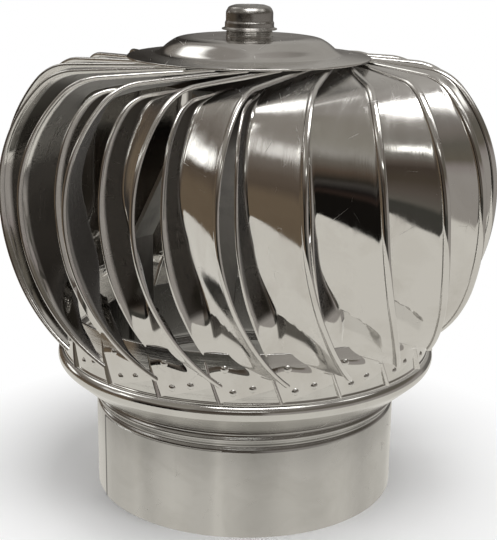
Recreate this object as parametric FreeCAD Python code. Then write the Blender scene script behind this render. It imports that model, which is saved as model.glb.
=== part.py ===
"""Wind-driven rotating chimney cap: a louvred steel turbine on a round spigot.

Units are millimetres. The origin is the centre of the spigot's bottom edge, and
+Z is the axis that the turbine turns about. An azimuth is measured from -Y, the
front, towards +X.
"""
import FreeCAD, Part
import math
import os
from collections import namedtuple

# Spigot: the round stub that the flue pipe joins, with a swaged stop bead.
SPIGOT_RADIUS = 100.0
SPIGOT_WALL = 0.8
SPIGOT_HEIGHT = 110.0
JOINT_LENGTH = 58.0            # plain length below the bead, where a pipe slides on
GROOVE_DEPTH = 1.4
BEAD_RISE = 1.3
BEAD_PITCH = 2.4               # height of each half of the swage
LAP_WIDTH = 14.0
LAP_AZIMUTH = -64.0

# Turbine skirt: the flared bowl that shields the gap round the spigot.
RUNNING_GAP = 2.0
SHEET = 1.0
SKIRT_LIP_RISE = 2.2           # lip above the swage bead
ROLL_RADIUS = 125.0
ROLL_HEIGHT = 90.0
ROLL_SIZE = 6.0
ROLL_LEAN = 2.0
SKIRT_TOP = 95.8

# Base cone: the steep ring that the vanes are clinched to.
CONE_FOOT_RADIUS = 121.2
CONE_FOOT_HEIGHT = 97.0
CONE_TOP_RADIUS = 118.7
CONE_TOP_HEIGHT = 128.0
CONE_FLANGE = 8.0
CONE_LIP = 3.0

# Vanes: folded louvre strips. The free edge runs round three bends and then straight in
# under the plate. Turns are in degrees up from the equator.
VANE_COUNT = 21
VANE_SHEET = 0.6
FRONT_VANE_AZIMUTH = -26.4
EQUATOR_RADIUS = 150.2         # square distance from the axis to the free edge's line
EQUATOR_HEIGHT = 205.0
LOWER_BEND = 120.0
UPPER_BEND = 92.0
UPPER_SWEEP = 44.0
SHOULDER_BEND = 34.9
SHOULDER_SWEEP = 43.0
TOP_TURN = UPPER_SWEEP + SHOULDER_SWEEP
TURN_STEP = 11.0               # greatest turn between two sections of the loft
BEAD_WIDTH = 5.0
BEAD_HEIGHT = 1.2
CORNER_HEIGHT = 110.5          # where the free edge is cut off square
Section = namedtuple("Section", "turn run edge valley_depth valley hem_depth hem")
VANE_SECTIONS = [
    # turn, straight run in, then how far sideways the free edge, the valley fold and the
    # hem lie, with the depth of the last two below the free edge
    Section(-60.0, 0.0, 82.0, 3.0, 42.0, 1.5, 37.0),
    Section(-45.0, 0.0, 75.0, 4.5, 37.0, 1.5, 32.0),
    Section(-30.0, 0.0, 67.0, 15.6, 35.7, 5.0, 25.5),
    Section(-20.0, 0.0, 61.5, 24.0, 29.0, 7.0, 22.3),
    Section(-5.0, 0.0, 56.0, 26.0, 22.6, 9.2, 18.8),
    Section(15.0, 0.0, 53.6, 22.0, 19.2, 7.0, 17.2),
    Section(UPPER_SWEEP, 0.0, 52.6, 20.5, 18.2, 5.8, 17.2),
    Section(TOP_TURN, 0.0, 53.0, 12.5, 20.0, 8.0, 18.2),
    Section(TOP_TURN, 70.0, 57.5, 9.5, 21.5, 8.6, 19.5),
]

# Tabs: the foot of each vane, a triangle on the cone with a standing rib at its steep side.
TAB_TURNS = (15.6, 19.4, 34.6)     # top, foot and point, from the azimuth that the vane faces
TAB_HEIGHTS = (131.0, 97.3, 107.0)
TAB_SHEET = 0.7
TAB_TUCK = 4.0                 # how far a tab runs up behind its strip
RIB_RISE = 3.0
RIB_WIDTH = 1.2
CLINCH_RADIUS = 2.6
CLINCH_RISE = 0.5
CLINCH_SIDES = 8
CLINCH_PLACES = ((20.9, 118.5), (23.2, 104.0), (28.6, 106.6))     # turn and height

# Top plate: a shallow cone with a pressed dome that carries the bearing housing.
PLATE_RADIUS = 77.0
PLATE_EDGE_HEIGHT = 283.6      # underside of the edge
PLATE_SHEET = 1.2
DOME_FOOT_RADIUS = 58.5
DOME_FOOT_RISE = 2.0
DOME_RADIUS = 42.0
DOME_HEIGHT = 295.6            # underside of the dome's flat
BAND_RADIUS = 65.5
BAND_HEIGHT = 15.0

# Bearings: two sealed ball bearings, 10 x 26 x 8.
AXLE_RADIUS = 5.0
BEARING_RADIUS = 13.0
BEARING_WIDTH = 8.0
RING_WALL = 2.2
RING_GAP = 0.3
BEARING_SPACING = 10.0

# Bearing housing and its drawn cap.
HOUSING_RADIUS = 14.7
HOUSING_FOOT = 268.0
HOUSING_TOP = 305.0
HOUSING_LIP = 2.0
HOUSING_FLANGE_RADIUS = 22.0
HOUSING_FLANGE = 2.6
CAP_SHEET = 0.8
CAP_FLANGE_RADIUS = 17.4
CAP_SKIRT = 4.0
CAP_HEIGHT = 316.2
CAP_ROUND = 4.0

# Fixed frame: three bent flat bars that carry the axle over the open flue.
LEG_COUNT = 3
LEG_AZIMUTH = -10.0
LEG_WIDTH = 20.0
LEG_THICKNESS = 3.0
LEG_FOOT = 74.0
LEG_KNEE = 150.0
LEG_TOP_RADIUS = 36.0
LEG_TOE = 16.0
HUB_RADIUS = 36.0
HUB_THICKNESS = 4.0
HUB_UNDERSIDE = 257.0
LEG_RIVET_HEIGHTS = (84.0, 99.0)
RIVET_RADIUS = 2.4
RIVET_HEAD_RADIUS = 4.0
RIVET_HEAD = 1.3
NUT_FLATS = 16.0
NUT_HEIGHT = 4.0

AXIS = FreeCAD.Vector(0, 0, 1)
CONE_SLOPE = (CONE_FOOT_RADIUS - CONE_TOP_RADIUS) / (CONE_TOP_HEIGHT - CONE_FOOT_HEIGHT)
HUB_TOP = HUB_UNDERSIDE + HUB_THICKNESS
BEARING_FOOT = HOUSING_FOOT + HOUSING_LIP
UPPER_BEARING = BEARING_FOOT + BEARING_WIDTH + BEARING_SPACING
STACK_TOP = UPPER_BEARING + BEARING_WIDTH


def vector(radius, height, side=0.0):
    """A point in the vertical plane of +X, with an optional sideways offset."""
    return FreeCAD.Vector(radius, side, height)


def outline(*points):
    """A closed face in the XZ plane through (radius, height) points."""
    corners = [vector(*point) for point in points]
    return Part.Face(Part.makePolygon(corners + corners[:1]))


def turned(face, start=0.0, sweep=360.0):
    """Revolve a face about the main axis, from an azimuth over a sweep."""
    placed = face.copy()
    placed.rotate(FreeCAD.Vector(0, 0, 0), AXIS, start - 90.0)
    return placed.revolve(FreeCAD.Vector(0, 0, 0), AXIS, sweep)


def tube(outer, inner, foot, height):
    """An upright ring with square edges."""
    ring = Part.makeCylinder(outer, height, vector(0, foot))
    return ring.cut(Part.makeCylinder(inner, height + 2, vector(0, foot - 1)))


def at_azimuth(shape, azimuth):
    """A copy of a shape that was drawn over +X, turned to an azimuth."""
    placed = shape.copy()
    placed.rotate(FreeCAD.Vector(0, 0, 0), AXIS, azimuth - 90.0)
    return placed


def cone_radius(height):
    """Outer radius of the base cone at a height."""
    return CONE_FOOT_RADIUS - (height - CONE_FOOT_HEIGHT) * CONE_SLOPE


def on_cone(height, rise):
    """A point at a height along the cone's outer face, raised square to it."""
    run = math.hypot(1.0, CONE_SLOPE)
    return (cone_radius(height) + rise / run, height + rise * CONE_SLOPE / run)


# Fixed parts

def spigot():
    """Rolled sheet tube with an inward groove and an outward bead, and its lap inside."""
    def wall(radius):
        groove = JOINT_LENGTH + BEAD_PITCH
        bead = groove + 2 * BEAD_PITCH
        return [
            (radius, 0.0),
            (radius, JOINT_LENGTH),
            (radius - GROOVE_DEPTH, groove),
            (radius + BEAD_RISE, bead),
            (radius, bead + BEAD_PITCH),
            (radius, SPIGOT_HEIGHT),
        ]
    solid = turned(outline(*wall(SPIGOT_RADIUS), (0.0, SPIGOT_HEIGHT), (0.0, 0.0)))
    bore = turned(outline(*wall(SPIGOT_RADIUS - SPIGOT_WALL), (0.0, SPIGOT_HEIGHT), (0.0, 0.0)))
    inner = SPIGOT_RADIUS - SPIGOT_WALL
    lap_sweep = math.degrees(LAP_WIDTH / inner)
    lap = outline((inner - SPIGOT_WALL, 0), (inner + 0.1, 0),
                  (inner + 0.1, JOINT_LENGTH), (inner - SPIGOT_WALL, JOINT_LENGTH))
    return solid.cut(bore).fuse(turned(lap, LAP_AZIMUTH, lap_sweep)).removeSplitter()


def leg_path():
    """Centre line of a leg: foot, knee, shoulder and toe under the hub plate."""
    foot_radius = SPIGOT_RADIUS - SPIGOT_WALL - LEG_THICKNESS / 2
    toe_height = HUB_UNDERSIDE - LEG_THICKNESS / 2
    return [
        (foot_radius, LEG_FOOT),
        (foot_radius, LEG_KNEE),
        (LEG_TOP_RADIUS, toe_height),
        (LEG_TOE, toe_height),
    ]


def leg(azimuth):
    """One flat bar, bent twice, mitred at the bends and curved to the wall at its foot."""
    half = LEG_THICKNESS / 2
    path = leg_path()
    sides = []
    for side in (half, -half):
        offset = []
        for here, (radius, height) in enumerate(path):
            before = path[max(here - 1, 0)]
            after = path[min(here + 1, len(path) - 1)]
            normals = []
            for first, second in ((before, (radius, height)), ((radius, height), after)):
                run = math.dist(first, second)
                if run:
                    normals.append(((second[1] - first[1]) / run, (first[0] - second[0]) / run))
            mean = (sum(n[0] for n in normals) / len(normals),
                    sum(n[1] for n in normals) / len(normals))
            size = mean[0] ** 2 + mean[1] ** 2
            offset.append((radius + side * mean[0] / size, height + side * mean[1] / size))
        sides.append(offset)
    face = outline(*sides[0], *reversed(sides[1]))
    bar = face.extrude(FreeCAD.Vector(0, LEG_WIDTH, 0))
    bar.translate(FreeCAD.Vector(0, -LEG_WIDTH / 2, 0))
    inside = Part.makeCylinder(SPIGOT_RADIUS - SPIGOT_WALL, HUB_TOP)
    return at_azimuth(bar.common(inside), azimuth)


def leg_azimuths():
    """Azimuths of the legs, evenly spaced."""
    return [LEG_AZIMUTH + 360.0 / LEG_COUNT * number for number in range(LEG_COUNT)]


def leg_rivets():
    """Outer heads of the rivets that hold the legs' feet to the spigot, on their shanks."""
    rivets = []
    for azimuth in leg_azimuths():
        for height in LEG_RIVET_HEIGHTS:
            head = Part.makeCylinder(RIVET_HEAD_RADIUS, RIVET_HEAD, vector(SPIGOT_RADIUS, height),
                                     FreeCAD.Vector(1, 0, 0))
            rivets.append(at_azimuth(head, azimuth))
    return Part.makeCompound(rivets)


def hub_bolts():
    """Domed rivets that hold the legs' toes under the hub plate."""
    middle = (LEG_TOP_RADIUS + LEG_TOE) / 2
    bolts = [at_azimuth(Part.makeCylinder(RIVET_HEAD_RADIUS, RIVET_HEAD, vector(middle, HUB_TOP)),
                        azimuth) for azimuth in leg_azimuths()]
    return Part.makeCompound(bolts)


def hub_plate():
    """Disc that ties the legs together and carries the axle."""
    return tube(HUB_RADIUS, AXLE_RADIUS, HUB_UNDERSIDE, HUB_THICKNESS)


def axle():
    """Stub axle with a collar that stands on the hub plate and ends under the cap."""
    collar_top = BEARING_FOOT
    thread_foot = HUB_UNDERSIDE - NUT_HEIGHT - 3.0
    top = STACK_TOP + 1.0 + NUT_HEIGHT + 2.0
    return turned(outline(
        (0, thread_foot), (AXLE_RADIUS, thread_foot), (AXLE_RADIUS, HUB_TOP),
        (AXLE_RADIUS + 4.0, HUB_TOP), (AXLE_RADIUS + 4.0, HUB_TOP + 3.0),
        (AXLE_RADIUS + 2.0, HUB_TOP + 3.0), (AXLE_RADIUS + 2.0, collar_top),
        (AXLE_RADIUS, collar_top), (AXLE_RADIUS, top - 1.0), (AXLE_RADIUS - 1.0, top), (0, top)))


def nut(foot):
    """Hexagon nut on the axle."""
    corner = NUT_FLATS / math.sqrt(3)
    points = [FreeCAD.Vector(corner * math.cos(math.radians(60 * side)),
                             corner * math.sin(math.radians(60 * side)), foot)
              for side in range(7)]
    prism = Part.Face(Part.makePolygon(points)).extrude(FreeCAD.Vector(0, 0, NUT_HEIGHT))
    return prism.cut(Part.makeCylinder(AXLE_RADIUS, 2 * NUT_HEIGHT, vector(0, foot - 1)))


# Turning parts

def skirt():
    """Flared bowl with a rolled shoulder and an inward flange, one sheet all through."""
    lip_radius = SPIGOT_RADIUS + RUNNING_GAP
    lip = JOINT_LENGTH + 4 * BEAD_PITCH + SKIRT_LIP_RISE

    def face(inset):
        return [
            (lip_radius + SHEET - inset, lip),
            (ROLL_RADIUS - ROLL_SIZE - inset * 0.7, ROLL_HEIGHT - ROLL_SIZE + inset * 0.7),
            (ROLL_RADIUS - inset, ROLL_HEIGHT),
            (ROLL_RADIUS - ROLL_LEAN - inset, SKIRT_TOP - inset),
            (CONE_FOOT_RADIUS - CONE_FLANGE, SKIRT_TOP - inset),
        ]
    return turned(outline(*face(0.0), *reversed(face(SHEET))))


def base_cone():
    """Steep ring with a flat foot flange and a folded upper lip."""
    flange = CONE_FOOT_RADIUS - CONE_FLANGE
    lip = CONE_TOP_HEIGHT - CONE_LIP
    return turned(outline(
        (flange, SKIRT_TOP), (CONE_FOOT_RADIUS, SKIRT_TOP),
        (CONE_FOOT_RADIUS, CONE_FOOT_HEIGHT), (CONE_TOP_RADIUS, CONE_TOP_HEIGHT),
        (CONE_TOP_RADIUS - 2 * SHEET, CONE_TOP_HEIGHT), (CONE_TOP_RADIUS - 2 * SHEET, lip),
        on_cone(lip, -SHEET), on_cone(SKIRT_TOP + SHEET, -SHEET),
        (flange, SKIRT_TOP + SHEET)))


def bend_centre(bend):
    """Centre of a bend that starts at the equator."""
    return vector(EQUATOR_RADIUS - bend, EQUATOR_HEIGHT)


def at_turn(turn):
    """Unit vector that points out of a bend at a turn from the equator."""
    return vector(math.cos(math.radians(turn)), math.sin(math.radians(turn)))


def edge_place(section):
    """Where a section crosses the free edge's line, before its sideways offset."""
    if section.turn <= 0.0:
        return bend_centre(LOWER_BEND) + at_turn(section.turn) * LOWER_BEND
    if section.turn <= UPPER_SWEEP:
        return bend_centre(UPPER_BEND) + at_turn(section.turn) * UPPER_BEND
    shoulder = bend_centre(UPPER_BEND) + at_turn(UPPER_SWEEP) * (UPPER_BEND - SHOULDER_BEND)
    inward = at_turn(section.turn + 90.0)
    return shoulder + at_turn(section.turn) * SHOULDER_BEND + inward * section.run


def section_corners(section):
    """Corners of the sheet across a vane: bead, panel, valley fold and flange up to the hem."""
    sideways = FreeCAD.Vector(0, 1, 0)
    outward = at_turn(section.turn)
    start = edge_place(section)
    edge = start + sideways * section.edge
    valley = start + sideways * section.valley - outward * section.valley_depth
    hem = start + sideways * section.hem - outward * section.hem_depth
    turn_up = sideways.cross(outward)
    panel = (edge - valley).normalize()
    flange = (valley - hem).normalize()
    panel_face = turn_up.cross(panel)
    flange_face = turn_up.cross(flange)
    mitre = (panel_face + flange_face) * (VANE_SHEET / (1.0 + panel_face.dot(flange_face)))
    bead_foot = edge - panel * BEAD_WIDTH
    corners = [
        edge + panel_face * BEAD_HEIGHT,
        bead_foot + panel_face * BEAD_HEIGHT,
        bead_foot,
        valley,
        hem,
        hem - flange_face * VANE_SHEET,
        valley - mitre,
        edge - panel_face * VANE_SHEET,
    ]
    return corners


def folded_sheet(sections):
    """Solid through section outlines, with flat faces that meet on the shorter diagonals."""
    flats = [sections[0], sections[-1]]
    for here, there in zip(sections, sections[1:]):
        for side in range(len(here)):
            after = (side + 1) % len(here)
            square = (here[side], here[after], there[after], there[side])
            if square[0].distanceToPoint(square[2]) > square[1].distanceToPoint(square[3]):
                square = square[1:] + square[:1]
            flats += [square[:3], (square[0], square[2], square[3])]
    faces = [Part.Face(Part.makePolygon([*flat, flat[0]])) for flat in flats]
    return Part.Solid(Part.Shell(faces))


def vane_stations():
    """Sections close enough to follow the bends, blended between the named ones."""
    stations = []
    for first, last in zip(VANE_SECTIONS, VANE_SECTIONS[1:]):
        steps = max(1, round((last.turn - first.turn) / TURN_STEP))
        for step in range(steps):
            share = step / steps
            stations.append(Section(*(low + (high - low) * share
                                      for low, high in zip(first, last))))
    return stations + [VANE_SECTIONS[-1]]


def tab_prism(corners, depth):
    """Radial prism through (turn, height) corners, to cut a tab's outline out of a shell."""
    middle = sum(turn for turn, height in corners) / len(corners)
    points = [vector(0.0, height, CONE_FOOT_RADIUS * math.sin(math.radians(turn - middle)))
              for turn, height in corners]
    prism = Part.Face(Part.makePolygon(points + points[:1])).extrude(vector(depth, 0.0))
    return at_azimuth(prism, 90.0 + middle)


def cone_shell(rise):
    """Thin shell on the outside of the cone, as thick as a rise."""
    low = min(TAB_HEIGHTS)
    high = max(TAB_HEIGHTS)
    return turned(outline(on_cone(low, 0.0), on_cone(low, rise), on_cone(high, rise),
                          on_cone(high, 0.0)), 90.0, 60.0)


def tab():
    """Triangular tab on the cone with the rib that stands along its steep side."""
    corners = list(zip(TAB_TURNS, TAB_HEIGHTS))
    reach = 2 * CONE_FOOT_RADIUS
    pad = cone_shell(TAB_SHEET).common(tab_prism(corners, reach))
    width = math.degrees(RIB_WIDTH / CONE_FOOT_RADIUS)
    (top_turn, top), (foot_turn, foot) = corners[:2]
    side = [(top_turn, top), (foot_turn, foot), (foot_turn + width, foot),
            (top_turn + width, top)]
    rib = cone_shell(RIB_RISE).common(tab_prism(side, reach))
    return pad.fuse(rib)


def vane():
    """One louvre over +X: strip lofted through its sections, with its tab on the cone."""
    strip = folded_sheet([section_corners(section) for section in vane_stations()])
    foot = CONE_FOOT_HEIGHT - 20.0
    inside_cone = Part.makeCone(cone_radius(foot), CONE_TOP_RADIUS, CONE_TOP_HEIGHT - foot,
                                vector(0, foot))
    inside_band = Part.makeCylinder(BAND_RADIUS, 60.0, vector(0, EQUATOR_HEIGHT + 50.0))
    tab_end = CONE_FOOT_RADIUS * math.sin(math.radians(TAB_TURNS[2]))
    below_corner = Part.makeBox(EQUATOR_RADIUS, EQUATOR_RADIUS, CORNER_HEIGHT,
                                vector(0, 0, tab_end))
    strip = strip.cut([inside_cone, inside_band, below_corner])

    drum_end = bend_centre(LOWER_BEND)
    drum = Part.makeCylinder(LOWER_BEND - TAB_TUCK, EQUATOR_RADIUS, drum_end,
                             FreeCAD.Vector(0, 1, 0))
    return strip.fuse(tab().cut(drum)).removeSplitter()


def vane_azimuths():
    """Azimuths that the vanes' strips face."""
    return [FRONT_VANE_AZIMUTH + 360.0 / VANE_COUNT * number for number in range(VANE_COUNT)]


def clinch_points():
    """Clinch marks that fix each tab to the cone: one high and two low."""
    marks = []
    slope = math.hypot(1.0, CONE_SLOPE)
    outward = vector(1 / slope, CONE_SLOPE / slope)
    upward = vector(-CONE_SLOPE / slope, 1 / slope)
    for turn, height in CLINCH_PLACES:
        middle = vector(*on_cone(height, TAB_SHEET))
        corners = []
        for corner in range(CLINCH_SIDES + 1):
            angle = 2 * math.pi * corner / CLINCH_SIDES
            across = FreeCAD.Vector(0, 1, 0) * math.cos(angle)
            corners.append(middle + (across + upward * math.sin(angle)) * CLINCH_RADIUS)
        mark = Part.Face(Part.makePolygon(corners)).extrude(outward * CLINCH_RISE)
        marks += [at_azimuth(mark, azimuth + turn) for azimuth in vane_azimuths()]
    return Part.makeCompound(marks)


def top_plate():
    """Shallow cone with a pressed dome in one sheet."""
    def face(lift):
        foot = PLATE_EDGE_HEIGHT + DOME_FOOT_RISE + lift
        crown = DOME_HEIGHT + lift
        return [
            (PLATE_RADIUS, PLATE_EDGE_HEIGHT + lift),
            (DOME_FOOT_RADIUS, foot),
            (DOME_RADIUS + 12.0, foot + 4.6),
            (DOME_RADIUS + 4.0, crown - 1.4),
            (DOME_RADIUS - 4.0, crown),
            (HOUSING_RADIUS, crown),
        ]
    return turned(outline(*face(PLATE_SHEET), *reversed(face(0.0))))


def vane_band():
    """Upright band under the plate that the vanes' upper ends butt against."""
    rise = DOME_FOOT_RISE * (PLATE_RADIUS - BAND_RADIUS) / (PLATE_RADIUS - DOME_FOOT_RADIUS)
    return tube(BAND_RADIUS, BAND_RADIUS - PLATE_SHEET, PLATE_EDGE_HEIGHT + rise - BAND_HEIGHT,
                BAND_HEIGHT)


def bearing_housing():
    """Tube for both bearings, with a lip below and a flange under the dome."""
    bore = BEARING_RADIUS
    flange_top = DOME_HEIGHT
    return turned(outline(
        (bore - RING_WALL, HOUSING_FOOT), (HOUSING_RADIUS, HOUSING_FOOT),
        (HOUSING_RADIUS, flange_top - HOUSING_FLANGE),
        (HOUSING_FLANGE_RADIUS, flange_top - HOUSING_FLANGE), (HOUSING_FLANGE_RADIUS, flange_top),
        (HOUSING_RADIUS, flange_top), (HOUSING_RADIUS, HOUSING_TOP), (bore, HOUSING_TOP),
        (bore, BEARING_FOOT), (bore - RING_WALL, BEARING_FOOT)))


def inner_ring(foot):
    """Inner ring of a bearing, on the axle."""
    return tube(AXLE_RADIUS + RING_WALL, AXLE_RADIUS, foot, BEARING_WIDTH)


def outer_ring(foot):
    """Outer ring of a sealed bearing with its shields, clear of the inner ring."""
    return tube(BEARING_RADIUS, AXLE_RADIUS + RING_WALL + RING_GAP, foot, BEARING_WIDTH)


def bearing_cap():
    """Drawn cap with a round top, a stepped skirt over the housing and a foot flange."""
    skirt_radius = HOUSING_RADIUS + CAP_SHEET
    foot = HOUSING_TOP - CAP_SKIRT
    body = HOUSING_RADIUS + 0.2
    crown = body - CAP_ROUND
    return turned(outline(
        (HOUSING_RADIUS, foot), (CAP_FLANGE_RADIUS, foot), (CAP_FLANGE_RADIUS, foot + CAP_SHEET),
        (skirt_radius, foot + CAP_SHEET), (skirt_radius, HOUSING_TOP), (body, HOUSING_TOP + 0.6),
        (body, CAP_HEIGHT - CAP_ROUND), (body - CAP_ROUND * 0.3, CAP_HEIGHT - CAP_ROUND * 0.3),
        (crown, CAP_HEIGHT),
        (0, CAP_HEIGHT), (0, CAP_HEIGHT - CAP_SHEET), (crown, CAP_HEIGHT - CAP_SHEET),
        (body - CAP_SHEET, CAP_HEIGHT - CAP_ROUND), (body - CAP_SHEET, HOUSING_TOP),
        (HOUSING_RADIUS, HOUSING_TOP)))


def parts():
    """Every node by name."""
    shapes = {
        "spigot": spigot(),
        "leg_rivets": leg_rivets(),
        "hub_plate": hub_plate(),
        "hub_rivets": hub_bolts(),
        "axle": axle(),
        "axle_lower_nut": nut(HUB_UNDERSIDE - NUT_HEIGHT),
        "axle_top_washer": tube(NUT_FLATS / 2, AXLE_RADIUS, STACK_TOP, 1.0),
        "axle_top_nut": nut(STACK_TOP + 1.0),
        "lower_bearing_inner_ring": inner_ring(BEARING_FOOT),
        "upper_bearing_inner_ring": inner_ring(UPPER_BEARING),
        "inner_spacer": tube(AXLE_RADIUS + RING_WALL, AXLE_RADIUS,
                             BEARING_FOOT + BEARING_WIDTH, BEARING_SPACING),
        "lower_bearing_outer_ring": outer_ring(BEARING_FOOT),
        "upper_bearing_outer_ring": outer_ring(UPPER_BEARING),
        "outer_spacer": tube(BEARING_RADIUS, BEARING_RADIUS - RING_WALL,
                             BEARING_FOOT + BEARING_WIDTH, BEARING_SPACING),
        "bearing_circlip": tube(BEARING_RADIUS, BEARING_RADIUS - RING_WALL, STACK_TOP, 1.2),
        "bearing_housing": bearing_housing(),
        "bearing_cap": bearing_cap(),
        "top_plate": top_plate(),
        "vane_band": vane_band(),
        "base_cone": base_cone(),
        "skirt": skirt(),
        "clinch_points": clinch_points(),
    }
    for number, azimuth in enumerate(leg_azimuths(), start=1):
        shapes[f"leg_{number}"] = leg(azimuth)
    blade = vane()
    for number, azimuth in enumerate(vane_azimuths(), start=1):
        shapes[f"vane_{number:02d}"] = at_azimuth(blade, azimuth)
    return shapes


def main():
    """Write one STEP file for each node."""
    os.makedirs("parts", exist_ok=True)
    for name, shape in parts().items():
        if not shape.isValid() or not shape.Solids:
            raise RuntimeError(f"{name} is not a sound solid")
        shape.exportStep(f"parts/{name}.step")


main()
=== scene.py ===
"""Dressed model of a wind-driven chimney cap: polished louvres on a round spigot.

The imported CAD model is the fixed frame. Every sheet part that shows is rebuilt here as
a surface worked out with numpy, in metres and in the frame's own coordinates. An azimuth
is measured from -Y, the front, towards +X.
"""
from __future__ import annotations

import logging
import math
from dataclasses import dataclass, field
from enum import Enum

import bmesh
import bpy
import numpy as np
from mathutils import Matrix, Vector

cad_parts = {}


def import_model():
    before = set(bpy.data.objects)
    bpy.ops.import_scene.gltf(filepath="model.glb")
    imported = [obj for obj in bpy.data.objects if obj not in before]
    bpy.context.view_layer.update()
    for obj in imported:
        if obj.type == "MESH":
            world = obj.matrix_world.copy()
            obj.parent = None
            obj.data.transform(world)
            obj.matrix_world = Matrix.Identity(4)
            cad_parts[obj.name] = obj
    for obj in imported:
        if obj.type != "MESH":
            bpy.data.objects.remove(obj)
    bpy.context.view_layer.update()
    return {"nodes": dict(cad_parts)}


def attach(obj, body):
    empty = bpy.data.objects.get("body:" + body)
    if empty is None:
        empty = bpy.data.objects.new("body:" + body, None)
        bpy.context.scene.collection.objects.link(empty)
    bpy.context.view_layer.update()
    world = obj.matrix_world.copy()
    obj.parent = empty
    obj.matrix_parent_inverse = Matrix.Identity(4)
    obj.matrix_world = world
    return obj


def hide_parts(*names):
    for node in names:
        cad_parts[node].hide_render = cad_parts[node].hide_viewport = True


LOG = logging.getLogger("chimney_cap")
MM = 0.001
SEGMENTS = 256                 # steps round a turned part


class Body(str, Enum):
    """The two bodies of the record."""

    BASE = "base"
    ROTOR = "rotor"


class Slot(str, Enum):
    """Material slots of the record."""

    POLISHED = "polished_stainless"
    SATIN = "satin_stainless"
    TURNED = "turned_steel"
    ZINC = "zinc_plated_bar"


# Surfaces

def loop_faces(rows: int, columns: int, closed_rows: bool = False) -> np.ndarray:
    """Quads of a grid whose columns run round a closed loop.

    Args:
        rows: Number of loops.
        columns: Points in each loop.
        closed_rows: Whether the last loop joins the first one.

    Returns:
        Corner indices, one row for each quad.
    """
    lanes = rows if closed_rows else rows - 1
    row = np.arange(lanes)[:, None]
    column = np.arange(columns)[None, :]
    above = (row + 1) % rows
    after = (column + 1) % columns
    corners = (row * columns + column, row * columns + after,
               above * columns + after, above * columns + column)
    return np.stack([np.broadcast_to(corner, (lanes, columns)) for corner in corners],
                    axis=-1).reshape(-1, 4)


def make_piece(name: str, points: np.ndarray, faces: list, uv: np.ndarray | None = None,
               crease: float = 38.0, shade: np.ndarray | None = None) -> bpy.types.Object:
    """Make a smooth-shaded mesh object at the origin.

    Args:
        name: Name of the piece.
        points: Vertex positions in metres.
        faces: Corner indices of each face.
        uv: A (u, v) pair for each vertex, in metres along the sheet.
        crease: Angle in degrees past which an edge is shaded sharp.
        shade: Painted shade for each vertex, from 0 to 1, and on the spigot its dark seam.

    Returns:
        The object, linked to the scene.
    """
    mesh = bpy.data.meshes.new(name)
    mesh.from_pydata(points.reshape(-1, 3).tolist(), [], faces)
    mesh.update()
    if uv is not None:
        layer = mesh.uv_layers.new(name="sheet")
        corners = np.empty(len(mesh.loops), dtype=np.int32)
        mesh.loops.foreach_get("vertex_index", corners)
        layer.data.foreach_set("uv", uv.reshape(-1, 2)[corners].astype(np.float32).ravel())
    if shade is not None:
        darkening = mesh.attributes.new("shade", "FLOAT", "POINT")
        darkening.data.foreach_set("value", shade.astype(np.float32).ravel())
    mesh.polygons.foreach_set("use_smooth", np.ones(len(mesh.polygons), dtype=bool))
    build = bmesh.new()
    build.from_mesh(mesh)
    bmesh.ops.remove_doubles(build, verts=build.verts, dist=1e-7)
    bmesh.ops.recalc_face_normals(build, faces=build.faces)
    build.to_mesh(mesh)
    build.free()
    mesh.set_sharp_from_angle(angle=math.radians(crease))
    piece = bpy.data.objects.new(name, mesh)
    bpy.context.scene.collection.objects.link(piece)
    return piece


def rounded(points: list[tuple[float, float]], radius: float, steps: int = 5) -> np.ndarray:
    """Round the corners of a closed outline.

    Each corner becomes a quadratic curve that starts and ends one radius away from it, or
    less where a side is short, with the corner as its control point.

    Args:
        points: (radius, height) corners of the outline.
        radius: How far from a corner its curve starts.
        steps: Points on each curve.

    Returns:
        The outline's points, one row each.
    """
    corners = np.array(points, dtype=float)
    before = np.roll(corners, 1, axis=0) - corners
    after = np.roll(corners, -1, axis=0) - corners
    before_length = np.linalg.norm(before, axis=1, keepdims=True)
    after_length = np.linalg.norm(after, axis=1, keepdims=True)
    reach = np.minimum(radius, 0.45 * np.minimum(before_length, after_length))
    start = corners + before / before_length * reach
    end = corners + after / after_length * reach
    share = np.linspace(0.0, 1.0, steps)[None, :, None]
    curve = (start[:, None] * (1 - share) ** 2 + 2 * corners[:, None] * share * (1 - share)
             + end[:, None] * share ** 2)
    return curve.reshape(-1, 2)


def turned(name: str, outline: np.ndarray, segments: int = SEGMENTS) -> bpy.types.Object:
    """Turn a closed outline about the main axis.

    A point at radius r and height z goes to (r sin a, -r cos a, z) for every azimuth a.

    Args:
        name: Name of the piece.
        outline: (radius, height) points in millimetres.
        segments: Steps round the axis.

    Returns:
        The turned piece, with u round it and v along the outline.
    """
    azimuth = np.linspace(0.0, 2 * math.pi, segments, endpoint=False)[:, None]
    radius = outline[None, :, 0] * MM
    height = np.broadcast_to(outline[None, :, 1] * MM, (segments, len(outline)))
    points = np.stack([radius * np.sin(azimuth), -radius * np.cos(azimuth), height], axis=-1)
    travel = np.cumsum(np.r_[0.0, np.linalg.norm(np.diff(outline, axis=0), axis=1)]) * MM
    around = azimuth * np.max(np.abs(outline[:, 0])) * MM
    uv = np.stack([np.broadcast_to(around, (segments, len(outline))),
                   np.broadcast_to(travel[None, :], (segments, len(outline)))], axis=-1)
    faces = loop_faces(segments, len(outline), closed_rows=True).tolist()
    return make_piece(name, points, faces, uv)


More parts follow.
